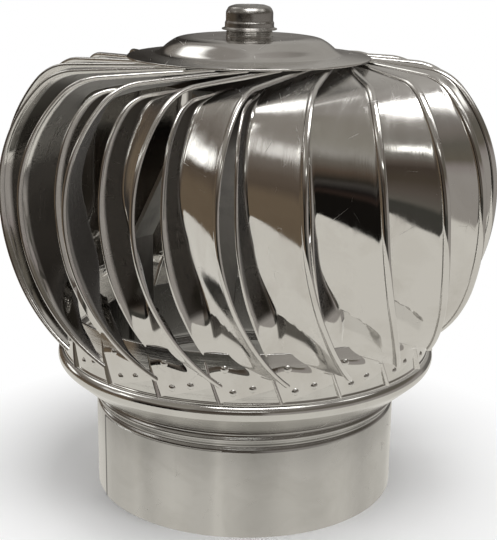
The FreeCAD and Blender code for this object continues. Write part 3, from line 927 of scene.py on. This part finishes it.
        # Painted shade: the flange's face, the start of the fold and the whole back are dark.
        darkening = np.zeros((len(travel), columns))
        darkening[:, FLANGE] = 1.0
        darkening[:, FOLD] = (1.0, 0.9, 0.6)
        darkening[:, -BACK_POINTS:] = 1.0
        past, fade = self.flange_fade
        darkening[:, FLANGE.start:FOLD.stop] *= ease((past - below[:, :1]) / fade)
        # The pressed-in corner below the crease gets painted shade as well.
        ends, fades = self.corner_edge
        deep, shallower, soft = self.corner_depth
        corner = (ease(below / 1.6 - 0.2) * ease((ends - share[None, :]) / fades)
                  * ease((deep - shallower * share[None, :] - below) / soft))
        darkening[:, CORNER] = np.maximum(darkening[:, CORNER], corner_shade * corner)
        return darkening

    def strip(self, dent: float, wave: float,
              corner_shade: float) -> tuple[np.ndarray, np.ndarray, np.ndarray]:
        """Folded sheet as loops across the strip, from the foot to the band.

        A loop goes from the hem down the flange, round the valley fold, along the panel,
        round the bead and back behind them, one sheet away.

        Args:
            dent: Depth of the pressed-in corner near the foot, in millimetres.
            wave: Height of the panel's gentle swell.
            corner_shade: How much painted shade the pressed-in corner gets, from 0 to 1.

        Returns:
            Points (loops, points in a loop, 3), their (u, v) in metres, and how much painted
            shade darkens each point.
        """
        edge, valley, hem, outward, travel = self.lines()
        along = unit(np.gradient(0.5 * (edge + valley), axis=0))
        panel = unit(edge - valley)
        flange = unit(valley - hem)
        panel_face = unit(np.cross(panel, along))
        panel_face *= np.sign(np.sum(panel_face * outward, axis=-1, keepdims=True))
        flange_face = unit(np.cross(flange, along))
        flange_face *= np.sign(flange_face[:, 1:2])
        depth = np.linalg.norm(valley - hem, axis=-1)
        fold = np.minimum(self.fold_radius, 0.35 * depth)[:, None]

        angle = np.linspace(-math.pi / 2, math.pi / 2, 7)[None, :, None]
        centre = hem + flange * self.hem_radius
        hem_roll = (centre[:, None] - flange[:, None] * self.hem_radius * np.cos(angle)
                    + flange_face[:, None] * self.hem_radius * np.sin(angle))

        down = np.linspace(0.1, 1.0, 7)[None, :, None]
        flange_start = centre + flange * self.hem_radius
        flange_end = valley - flange * fold
        flange_front = flange_start[:, None] * (1 - down) + flange_end[:, None] * down

        bend = np.linspace(0.15, 0.85, 5)[None, :, None]
        after_fold = valley + panel * fold
        fold_front = (flange_end[:, None] * (1 - bend) ** 2
                      + 2 * valley[:, None] * bend * (1 - bend) + after_fold[:, None] * bend ** 2)

        share = np.linspace(0.0, 1.0, 27)
        bead_start = edge - panel * (2 * self.bead_half_width + 0.4)
        line = (after_fold[:, None] * (1 - share[None, :, None])
                + bead_start[:, None] * share[None, :, None])
        lift = self.panel_lift(travel, share, dent, wave)[..., None]
        panel_front = line + panel_face[:, None] * lift

        round_bead = np.linspace(math.radians(172), math.radians(-160), 17)[None, :, None]
        bead_centre = (edge - panel * self.bead_half_width
                       - panel_face * (self.bead_half_height - 1.2))
        bead = (bead_centre[:, None]
                + panel[:, None] * self.bead_half_width * np.cos(round_bead)
                + panel_face[:, None] * self.bead_half_height * np.sin(round_bead))

        back = [panel_front[:, ::-2] - panel_face[:, None] * self.sheet,
                (fold_front - unit(panel_face + flange_face)[:, None] * self.sheet)[:, ::-1],
                flange_front[:, ::-1] - flange_face[:, None] * self.sheet]
        loops = np.concatenate([hem_roll, flange_front, fold_front, panel_front, bead, *back],
                               axis=1)
        steps = np.linalg.norm(np.diff(loops, axis=1), axis=-1)
        across = np.concatenate([np.zeros((len(loops), 1)), np.cumsum(steps, axis=1)], axis=1)
        uv = np.stack([across, np.broadcast_to(travel[:, None], across.shape)], axis=-1) * MM
        return loops, uv, self.painted_shade(travel, share, loops.shape[1], corner_shade)

    def on_ring(self, turn: np.ndarray, height: np.ndarray, rise: object) -> np.ndarray:
        """Point on the base ring at a turn from the vane's azimuth, raised from it."""
        foot, top = self.ring.ring_foot, self.ring.ring_top
        slope = (foot[0] - top[0]) / (top[1] - foot[1])
        radius = foot[0] - (height - foot[1]) * slope + rise
        angle = np.radians(turn)
        return np.stack([radius * np.cos(angle), radius * np.sin(angle),
                         height + 0 * angle], axis=-1)

    def tab(self, foot_loop: np.ndarray) -> tuple[np.ndarray, np.ndarray]:
        """Tab from the strip's lower edge down to its slanted foot on the ring.

        Each column runs from a point of the strip's last loop to the foot line, and
        settles on the ring's radius within the first third.

        Args:
            foot_loop: Front points of the strip's lowest loop, from hem to bead.

        Returns:
            Points as closed loops, one loop for each column, and their (u, v).
        """
        columns = np.linspace(0.0, 1.0, self.tab_steps[0])
        steps = np.linalg.norm(np.diff(foot_loop, axis=0), axis=1)
        travel = np.r_[0.0, np.cumsum(steps)]
        reach = travel[-1] * 0.86
        top = np.stack([np.interp(columns * reach, travel, foot_loop[:, axis])
                        for axis in range(3)], axis=-1)
        foot_turn = self.tab_turns[0] + (self.tab_turns[1] - self.tab_turns[0]) * columns
        foot_height = self.tab_heights[0] + (self.tab_heights[1] - self.tab_heights[0]) * columns
        top_turn = np.degrees(np.arctan2(top[:, 1], top[:, 0]))
        top_radius = np.hypot(top[:, 0], top[:, 1])
        down = np.linspace(0.0, 1.0, self.tab_steps[1])[None, :]
        turn = top_turn[:, None] * (1 - down) + foot_turn[:, None] * down
        height = (top[:, 2] - 0.4)[:, None] * (1 - down) + foot_height[:, None] * down
        seat = self.on_ring(turn, height, 0.75)
        seat_radius = np.hypot(seat[..., 0], seat[..., 1])
        settle_share = ease(down / 0.3)
        radius = (top_radius - 0.35)[:, None] * (1 - settle_share) + seat_radius * settle_share
        angle = np.radians(turn)

        def shell(depth: float) -> np.ndarray:
            """The tab's face, moved in by a depth."""
            return np.stack([(radius - depth) * np.cos(angle), (radius - depth) * np.sin(angle),
                             height], axis=-1)

        front, back = shell(0.0), shell(0.6)
        loops = np.concatenate([front, back[:, ::-1]], axis=1)
        fall = np.concatenate([down[0], down[0, ::-1]]) * 0.025
        uv = np.stack([np.broadcast_to(columns[:, None] * 0.036, loops.shape[:2]),
                       np.broadcast_to(fall[None, :] + 0.2, loops.shape[:2])], axis=-1)
        return loops, uv

    def rib(self, top: np.ndarray) -> tuple[np.ndarray, np.ndarray]:
        """Standing rib from the ring's foot up to the hem, as loops along its path.

        Its section is half an ellipse, which leans from the ring's face to the hem.

        Args:
            top: Point where the hem starts.

        Returns:
            Points as closed loops and their (u, v).
        """
        share = np.linspace(0.0, 1.0, 18)
        start = self.on_ring(np.array([self.tab_turns[0]]),
                             np.array([self.tab_heights[0] + 0.2]), 0.9)[0]
        bow = np.sin(math.pi * share)[:, None] * np.array([0.6, 0.0, 0.0])
        path = start * (1 - share[:, None]) + top * share[:, None] + bow
        along = unit(np.gradient(path, axis=0))
        radial = unit(path * np.array([1.0, 1.0, 0.0]))
        across = unit(np.cross(along, radial))
        angle = np.linspace(0.0, 2 * math.pi, 14, endpoint=False)[None, :, None]
        height = (3.2 - 1.4 * share)[:, None, None]
        loops = (path[:, None] + across[:, None] * 1.0 * np.cos(angle)
                 + radial[:, None] * height * np.sin(angle))
        around = np.broadcast_to(angle[..., 0] * 0.001, loops.shape[:2])
        uv = np.stack([around, np.broadcast_to(share[:, None] * 0.03, loops.shape[:2])], axis=-1)
        return loops, uv

    def vane(self, name: str, azimuth: float, dent: float, wave: float,
             corner_shade: float) -> bpy.types.Object:
        """One louvre as a single piece: strip, tab and rib.

        Args:
            name: Name of the piece.
            azimuth: Azimuth that it faces.
            dent: Depth of the pressed-in corner.
            wave: Height of the panel's swell.
            corner_shade: How much painted shade the pressed-in corner gets.

        Returns:
            The piece.
        """
        strip, strip_uv, darkening = self.strip(dent, wave, corner_shade)
        strip, strip_uv = self.ended_at_band(strip, strip_uv)
        tab, tab_uv = self.tab(strip[0, TAB_TOP])
        rib, rib_uv = self.rib(strip[0, TAB_TOP.start])
        points, places, faces, offset = [], [], [], 0
        for loops, uv in ((strip, strip_uv), (tab, tab_uv), (rib, rib_uv)):
            rows, columns = loops.shape[:2]
            faces += (loop_faces(rows, columns) + offset).tolist()
            faces.append(list(range(offset, offset + columns)))
            last = offset + (rows - 1) * columns
            faces.append(list(range(last, last + columns)))
            points.append(loops.reshape(-1, 3))
            places.append(uv.reshape(-1, 2))
            offset += rows * columns
        placed = turn_about_axis(np.vstack(points) * MM, azimuth)
        shade = np.r_[darkening.ravel(), np.zeros(len(placed) - darkening.size)]
        return make_piece(name, placed, faces, np.vstack(places), shade=shade)

    def ended_at_band(self, strip: np.ndarray,
                      uv: np.ndarray) -> tuple[np.ndarray, np.ndarray]:
        """Shorten each line along the strip so that it ends on the band's face.

        A line crosses the band's radius between two stations. From the last station that
        lies wholly outside the band, the stations are spread evenly up to that crossing.

        Args:
            strip: Points of the loops across the strip, from foot to top.
            uv: Their (u, v).

        Returns:
            The moved points and their (u, v).
        """
        count, columns = strip.shape[:2]
        column = np.arange(columns)
        radius = np.hypot(strip[..., 0], strip[..., 1])
        inside = radius < self.band_radius
        first = np.where(inside.any(axis=0), inside.argmax(axis=0), count - 1)
        outer, inner = radius[first - 1, column], radius[first, column]
        part = np.clip((outer - self.band_radius) / (outer - inner), 0.0, 1.0)
        crossing = np.where(inside.any(axis=0), first - 1 + part, count - 1.0)
        start = math.floor(crossing.min()) - 1
        station = np.arange(count)[:, None]
        spread = start + (crossing - start) * (station - start) / (count - 1 - start)
        at = np.where(station <= start, station, spread)
        low = np.clip(np.floor(at).astype(int), 0, count - 2)
        share = (at - low)[..., None]
        return (strip[low, column] * (1 - share) + strip[low + 1, column] * share,
                uv[low, column] * (1 - share) + uv[low + 1, column] * share)

    def build(self, finishes: Finishes) -> None:
        """Make every louvre, each pressed a little differently."""
        chance = np.random.default_rng(7)
        for number in range(self.count):
            azimuth = self.front_azimuth + 360.0 / self.count * number
            dent = self.dent_depth + self.dent_spread * chance.standard_normal()
            wave = self.swell_height + self.swell_spread * chance.standard_normal()
            name = f"louvre_{number + 1:02d}"
            # Vanes facing the left front get a darker painted shade in the pressed-in corner.
            facing = (azimuth + 180.0) % 360.0 - 180.0
            left_front = self.left_front[0] < facing < self.left_front[1]
            corner_shade = self.painted_corner_shade[0 if left_front else 1]
            piece = self.vane(name, azimuth, float(dent), float(wave), corner_shade)
            settle(piece, MIRROR_SHEET, finishes, Body.ROTOR, f"vane_{number + 1:02d}")


@dataclass
class ClinchMarks:
    """Pressed marks that hold each tab to the ring."""

    places: tuple[tuple[float, float], ...] = ((20.9, 118.5), (23.2, 104.0), (28.6, 106.6))
    radius: float = 2.3
    height: float = 1.0
    rings: int = 5
    steps: int = 16

    def build(self, finishes: Finishes, louvres: Louvres) -> None:
        """Low domes on the tabs: height falls as the square of the distance from the top."""
        share = np.linspace(0.0, 1.0, self.rings)[:, None]
        angle = np.linspace(0.0, 2 * math.pi, self.steps, endpoint=False)[None, :]
        across = share * self.radius * np.cos(angle)
        upward = share * self.radius * np.sin(angle)
        rise = np.broadcast_to(1.0 + self.height * (1.0 - share ** 2) ** 0.8 - 0.3 * share,
                               across.shape)
        dome = loop_faces(self.rings, self.steps)
        points, faces = [], []
        for number in range(louvres.count):
            azimuth = louvres.front_azimuth + 360.0 / louvres.count * number
            for turn, height in self.places:
                turns = turn + np.degrees(across / louvres.ring.ring_foot[0])
                mark = louvres.on_ring(turns, height + upward, rise)
                offset = sum(len(part) for part in points)
                points.append(turn_about_axis(mark.reshape(-1, 3) * MM, azimuth))
                faces += (dome + offset).tolist()
                rim = offset + (self.rings - 1) * self.steps
                faces.append(list(range(rim, rim + self.steps)))
        piece = make_piece("clinch_domes", np.vstack(points), faces)
        settle(piece, BRIGHT_RING, finishes, Body.ROTOR, "clinch_points")


@dataclass
class InnerFrame:
    """CAD nodes that keep their shape: legs, hub, bearings and fasteners."""

    bars: tuple[str, ...] = ("leg_1", "leg_2", "leg_3", "hub_plate")
    band: str = "vane_band"

    def dress(self, nodes: dict[str, bpy.types.Object], finishes: Finishes,
              replaced: set[str]) -> None:
        """Give each remaining CAD node its finish.

        Args:
            nodes: All CAD nodes by name.
            finishes: The materials.
            replaced: Nodes that new pieces stand for.
        """
        for name, node in nodes.items():
            if name in replaced:
                continue
            if name in self.bars:
                finish = ZINC_BAR
            elif name == self.band:
                finish = SHADED_BAND
            else:
                finish = MACHINED_STEEL
            finishes.dress(node, finish)
            LOG.info("%s keeps its CAD shape", name)


# Studio

@dataclass(frozen=True)
class Spot:
    """Soft-edged patch of light that the steel mirrors."""

    azimuth: float
    half_width: float
    elevation: float
    half_height: float
    soft: float
    colour: tuple[float, float, float]

    def mask(self, sheet: Sheet, azimuth: bpy.types.NodeSocket,
             elevation: bpy.types.NodeSocket) -> bpy.types.NodeSocket:
        """One inside the patch, falling to nothing over its soft edge."""
        parts = []
        for value, centre, half in ((azimuth, self.azimuth, self.half_width),
                                    (elevation, self.elevation, self.half_height)):
            away = sheet.maths("SUBTRACT", value, centre)
            away = sheet.maths("ABSOLUTE", away, 0.0)
            parts.append(sheet.remap(away, half, half + self.soft, 1.0, 0.0))
        return sheet.maths("MULTIPLY", *parts)


RADIAN = 57.296                # in degrees
TONES_LOW = -40.0              # lowest and highest elevation of the room's tones
TONES_HIGH = 90.0
TONES_BLUR = 2.5               # half the soft edge between two azimuth ranges

# Azimuth range, then (elevation, colour) pairs. The first range lies under the others.
BACK_SIDE = ((-40.0, (0.1, 0.095, 0.09)), (5.0, (0.16, 0.15, 0.14)), (14.0, (0.4, 0.385, 0.36)),
             (60.0, (0.44, 0.425, 0.4)), (90.0, (0.47, 0.455, 0.43)))
DARK_SIDE = ((-40.0, (0.03, 0.027, 0.024)), (24.0, (0.035, 0.031, 0.027)),
             (34.0, (0.32, 0.305, 0.285)), (60.0, (0.4, 0.385, 0.365)))
ROOM_TONES = (
    (-180.0, 180.0, BACK_SIDE),
    (-176.0, -156.0, DARK_SIDE),
    (-158.0, -68.0, (
        (-40.0, (0.15, 0.114, 0.078)), (-2.0, (0.15, 0.114, 0.078)), (5.0, (0.1, 0.077, 0.058)),
        (12.0, (0.12, 0.095, 0.075)), (18.0, (0.18, 0.157, 0.137)), (24.0, (0.27, 0.25, 0.225)),
        (36.0, (0.285, 0.262, 0.236)), (50.0, (0.3, 0.28, 0.26)), (90.0, (0.31, 0.29, 0.27)))),
    (-68.0, -34.0, (
        (-40.0, (0.008, 0.007, 0.006)), (-4.0, (0.008, 0.007, 0.006)), (-1.0, (0.03, 0.02, 0.016)),
        (3.0, (0.012, 0.01, 0.009)), (8.0, (0.055, 0.05, 0.045)), (11.0, (0.03, 0.026, 0.02)),
        (17.0, (0.095, 0.07, 0.052)), (24.0, (0.16, 0.145, 0.125)), (29.0, (0.35, 0.335, 0.31)),
        (35.0, (0.3, 0.285, 0.25)), (50.0, (0.26, 0.24, 0.21)), (80.0, (0.3, 0.28, 0.26)))),
    (-34.0, 12.0, (
        (-40.0, (0.06, 0.055, 0.05)), (-16.0, (0.052, 0.051, 0.044)), (-12.0, (0.12, 0.11, 0.095)),
        (-3.0, (0.105, 0.088, 0.075)), (8.0, (0.07, 0.056, 0.042)), (19.0, (0.062, 0.048, 0.038)),
        (24.0, (0.12, 0.1, 0.085)), (29.0, (0.22, 0.21, 0.19)), (47.0, (0.24, 0.222, 0.2)),
        (60.0, (0.3, 0.28, 0.26)))),
    (12.0, 130.0, (
        (-40.0, (0.35, 0.33, 0.305)), (2.0, (0.34, 0.32, 0.3)), (9.0, (0.29, 0.26, 0.25)),
        (15.0, (0.14, 0.125, 0.1)), (28.0, (0.127, 0.118, 0.1)), (38.0, (0.2, 0.178, 0.16)),
        (48.0, (0.23, 0.215, 0.2)), (66.0, (0.33, 0.31, 0.29)))),
)
ROOM_SPOTS = (
    Spot(-125.0, 6.0, 10.0, 2.0, 2.0, (1.8, 1.8, 1.75)),
    Spot(-88.0, 6.0, 24.0, 2.0, 2.5, (0.9, 0.88, 0.85)),
    Spot(-79.0, 4.5, 29.0, 1.2, 1.8, (2.6, 2.6, 2.5)),
    Spot(-1.0, 13.0, 33.5, 1.0, 1.8, (2.4, 2.4, 2.3)),
    Spot(-132.0, 13.0, 47.0, 7.0, 6.0, (2.2, 2.2, 2.15)),
    Spot(52.0, 14.0, 58.0, 4.0, 5.0, (2.0, 2.0, 1.95)),
    Spot(86.0, 9.0, 46.0, 5.0, 5.0, (1.8, 1.8, 1.75)),
)


@dataclass(frozen=True)
class Lamp:
    """One soft rectangular lamp."""

    name: str
    place: tuple[float, float, float]
    target: tuple[float, float, float]
    size: tuple[float, float]
    watts: float
    in_reflections: bool = True

    def build(self) -> None:
        """Place the lamp and aim it."""
        light = bpy.data.lights.new(self.name, "AREA")
        light.shape = "RECTANGLE"
        light.size, light.size_y = self.size
        light.energy = self.watts
        lamp = bpy.data.objects.new(self.name, light)
        aim = Vector(self.target) - Vector(self.place)
        lamp.matrix_world = (Matrix.Translation(self.place)
                             @ aim.to_track_quat("-Z", "Y").to_matrix().to_4x4())
        lamp.visible_camera = False
        lamp.visible_glossy = self.in_reflections
        bpy.context.scene.collection.objects.link(lamp)


@dataclass
class Studio:
    """Pale floor, room tones for the reflections, lamps and camera."""

    see_through_limit: int = 64    # surfaces that one mirrored ray may pass
    table_reach: float = 0.44
    table_left: float = 0.64
    table_turn: tuple[float, float] = (-85.0, -135.0)
    table_edge: float = 0.02
    shadow_fade: tuple[float, float] = (0.13, 0.24)
    floor_half: float = 6.0
    camera_place: tuple[float, float, float] = (0.0, -0.779058, 0.365899)
    camera_fall: float = 15.93
    camera_roll: float = 0.75
    lens: float = 81.3
    shift: float = 0.0041
    lamps: tuple[Lamp, ...] = (
        Lamp("ceiling_lamp", (0.1, -0.5, 1.5), (0.0, 0.0, 0.15), (0.9, 0.5), 9.0),
        Lamp("side_lamp", (1.3, -0.9, 1.0), (0.0, 0.0, 0.15), (0.7, 0.7), 7.0, False),
        Lamp("back_lamp", (-0.6, 1.2, 1.3), (0.0, 0.0, 0.2), (0.8, 0.4), 6.0, False),
    )

    def floor(self) -> None:
        """Floor with a soft shadow, white further out.

        What the steel mirrors is a pale table, which reaches further on the left, and past
        its edge the room.
        """
        half = self.floor_half
        corners = np.array([[-half, -half, 0.0], [half, -half, 0.0],
                            [half, half, 0.0], [-half, half, 0.0]])
        piece = make_piece("floor", corners, [[0, 1, 2, 3]])
        material, sheet = empty_material("pale_floor")
        place = sheet.add("TexCoord").outputs["Object"]
        distance = sheet.add("VectorMath", {0: place}, operation="LENGTH").outputs["Value"]
        far = sheet.remap(distance, *self.shadow_fade, 0.0, 1.0)
        split = sheet.add("SeparateXYZ", {0: place})
        front = sheet.maths("MULTIPLY", split.outputs[1], -1.0)
        azimuth = sheet.maths("ARCTAN2", split.outputs[0], front)
        longer = sheet.remap(azimuth, *np.radians(self.table_turn).tolist(), 0.0,
                             self.table_left - self.table_reach)
        past = sheet.maths("SUBTRACT", distance, longer)
        beyond = sheet.remap(past, self.table_reach, self.table_reach + self.table_edge,
                             0.0, 1.0)
        path = sheet.add("LightPath")
        paper = sheet.add("BsdfDiffuse", {"Color": (0.92, 0.92, 0.92, 1.0)}).outputs[0]
        seen = sheet.either(far, paper, sheet.glow("Emission", (1.0, 1.0, 1.0)))
        mirrored = sheet.either(beyond, sheet.glow("Emission", (0.70, 0.68, 0.63)),
                                sheet.add("BsdfTransparent").outputs[0])
        lit = sheet.either(path.outputs["Is Glossy Ray"], paper, mirrored)
        final = sheet.either(path.outputs["Is Camera Ray"], lit, seen)
        sheet.add("OutputMaterial", {"Surface": final})
        piece.data.materials.append(material)

    def room(self) -> None:
        """World: white behind the object, and a room's tones for what the steel mirrors.

        The direction is split into an azimuth and an elevation in degrees. Colour ramps
        over the elevation stand for the back, a dark corner, the wall on the left, the
        dark cabinet, the space beside it and the bright right side. Soft-edged spots are
        the room's lamps.
        """
        world = bpy.data.worlds.new("room")
        world.use_nodes = True
        world.node_tree.nodes.clear()
        sheet = Sheet(world.node_tree)
        direction = sheet.add("SeparateXYZ", {0: sheet.add("TexCoord").outputs["Generated"]})
        east, north, up = direction.outputs[0], direction.outputs[1], direction.outputs[2]
        front = sheet.maths("MULTIPLY", north, -1.0)
        azimuth = sheet.maths("MULTIPLY", sheet.maths("ARCTAN2", east, front), RADIAN)
        elevation = sheet.maths("MULTIPLY", sheet.maths("ARCSINE", up, 0.0), RADIAN)
        level = sheet.remap(elevation, TONES_LOW, TONES_HIGH, 0.0, 1.0)
        shown = self.tones(sheet, level, ROOM_TONES[0][2])
        for start, end, stops in ROOM_TONES[1:]:
            rise = sheet.remap(azimuth, start - TONES_BLUR, start + TONES_BLUR, 0.0, 1.0)
            fall = sheet.remap(azimuth, end - TONES_BLUR, end + TONES_BLUR, 1.0, 0.0)
            part = sheet.maths("MULTIPLY", rise, fall)
            shown = sheet.tinted(part, shown, self.tones(sheet, level, stops))
        for spot in ROOM_SPOTS:
            part = spot.mask(sheet, azimuth, elevation)
            shown = sheet.tinted(part, shown, spot.colour)
        path = sheet.add("LightPath")
        lit = sheet.either(path.outputs["Is Glossy Ray"],
                           sheet.glow("Background", (0.9, 0.9, 0.9), 0.55),
                           sheet.glow("Background", shown))
        final = sheet.either(path.outputs["Is Camera Ray"], lit,
                             sheet.glow("Background", (1.0, 1.0, 1.0)))
        sheet.add("OutputWorld", {"Surface": final})
        bpy.context.scene.world = world

    def tones(self, sheet: Sheet, level: bpy.types.NodeSocket,
              stops: tuple) -> bpy.types.NodeSocket:
        """Colour ramp over the elevation.

        Args:
            sheet: The world's nodes.
            level: Elevation as a share of the range from TONES_LOW to TONES_HIGH.
            stops: (elevation, colour) pairs from low to high.

        Returns:
            The ramp's colour.
        """
        node = sheet.add("ValToRGB", {0: level})
        ramp = node.color_ramp
        while len(ramp.elements) < len(stops):
            ramp.elements.new(0.5)
        for element, (elevation, colour) in zip(ramp.elements, stops):
            element.position = (elevation - TONES_LOW) / (TONES_HIGH - TONES_LOW)
            element.color = (*colour, 1.0)
        return node.outputs[0]

    def camera(self) -> None:
        """Camera a little above the ball, tilted down and rolled by under a degree."""
        data = bpy.data.cameras.new("camera")
        data.lens = self.lens
        data.shift_x = self.shift
        camera = bpy.data.objects.new("camera", data)
        tilt = Matrix.Rotation(math.radians(90.0 - self.camera_fall), 4, "X")
        roll = Matrix.Rotation(math.radians(self.camera_roll), 4, "Z")
        camera.matrix_world = Matrix.Translation(self.camera_place) @ tilt @ roll
        bpy.context.scene.collection.objects.link(camera)
        bpy.context.scene.camera = camera

    def build(self) -> None:
        """Set up the whole studio."""
        bpy.context.scene.view_settings.view_transform = "Standard"
        bpy.context.scene.cycles.transparent_max_bounces = self.see_through_limit
        self.floor()
        self.room()
        self.camera()
        for lamp in self.lamps:
            lamp.build()
        LOG.info("studio with %d lamps", len(self.lamps))


def main() -> None:
    """Load the frame, build and dress each sub-assembly, and set up the studio."""
    logging.basicConfig(level=logging.INFO, format="%(name)s: %(message)s")
    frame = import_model()
    finishes = Finishes()
    rings = RotorRings()
    louvres = Louvres(ring=rings)
    Spigot().build(finishes)
    rings.skirt(finishes)
    rings.ring(finishes)
    rings.plate(finishes)
    rings.cap(finishes)
    BearingNeck().build(finishes)
    louvres.build(finishes)
    ClinchMarks().build(finishes, louvres)
    replaced = {"spigot", "skirt", "base_cone", "top_plate", "bearing_cap",
                "bearing_housing", "clinch_points"}
    replaced |= {f"vane_{number + 1:02d}" for number in range(louvres.count)}
    InnerFrame().dress(frame["nodes"], finishes, replaced)
    Studio().build()


if __name__ == "__main__":
    main()
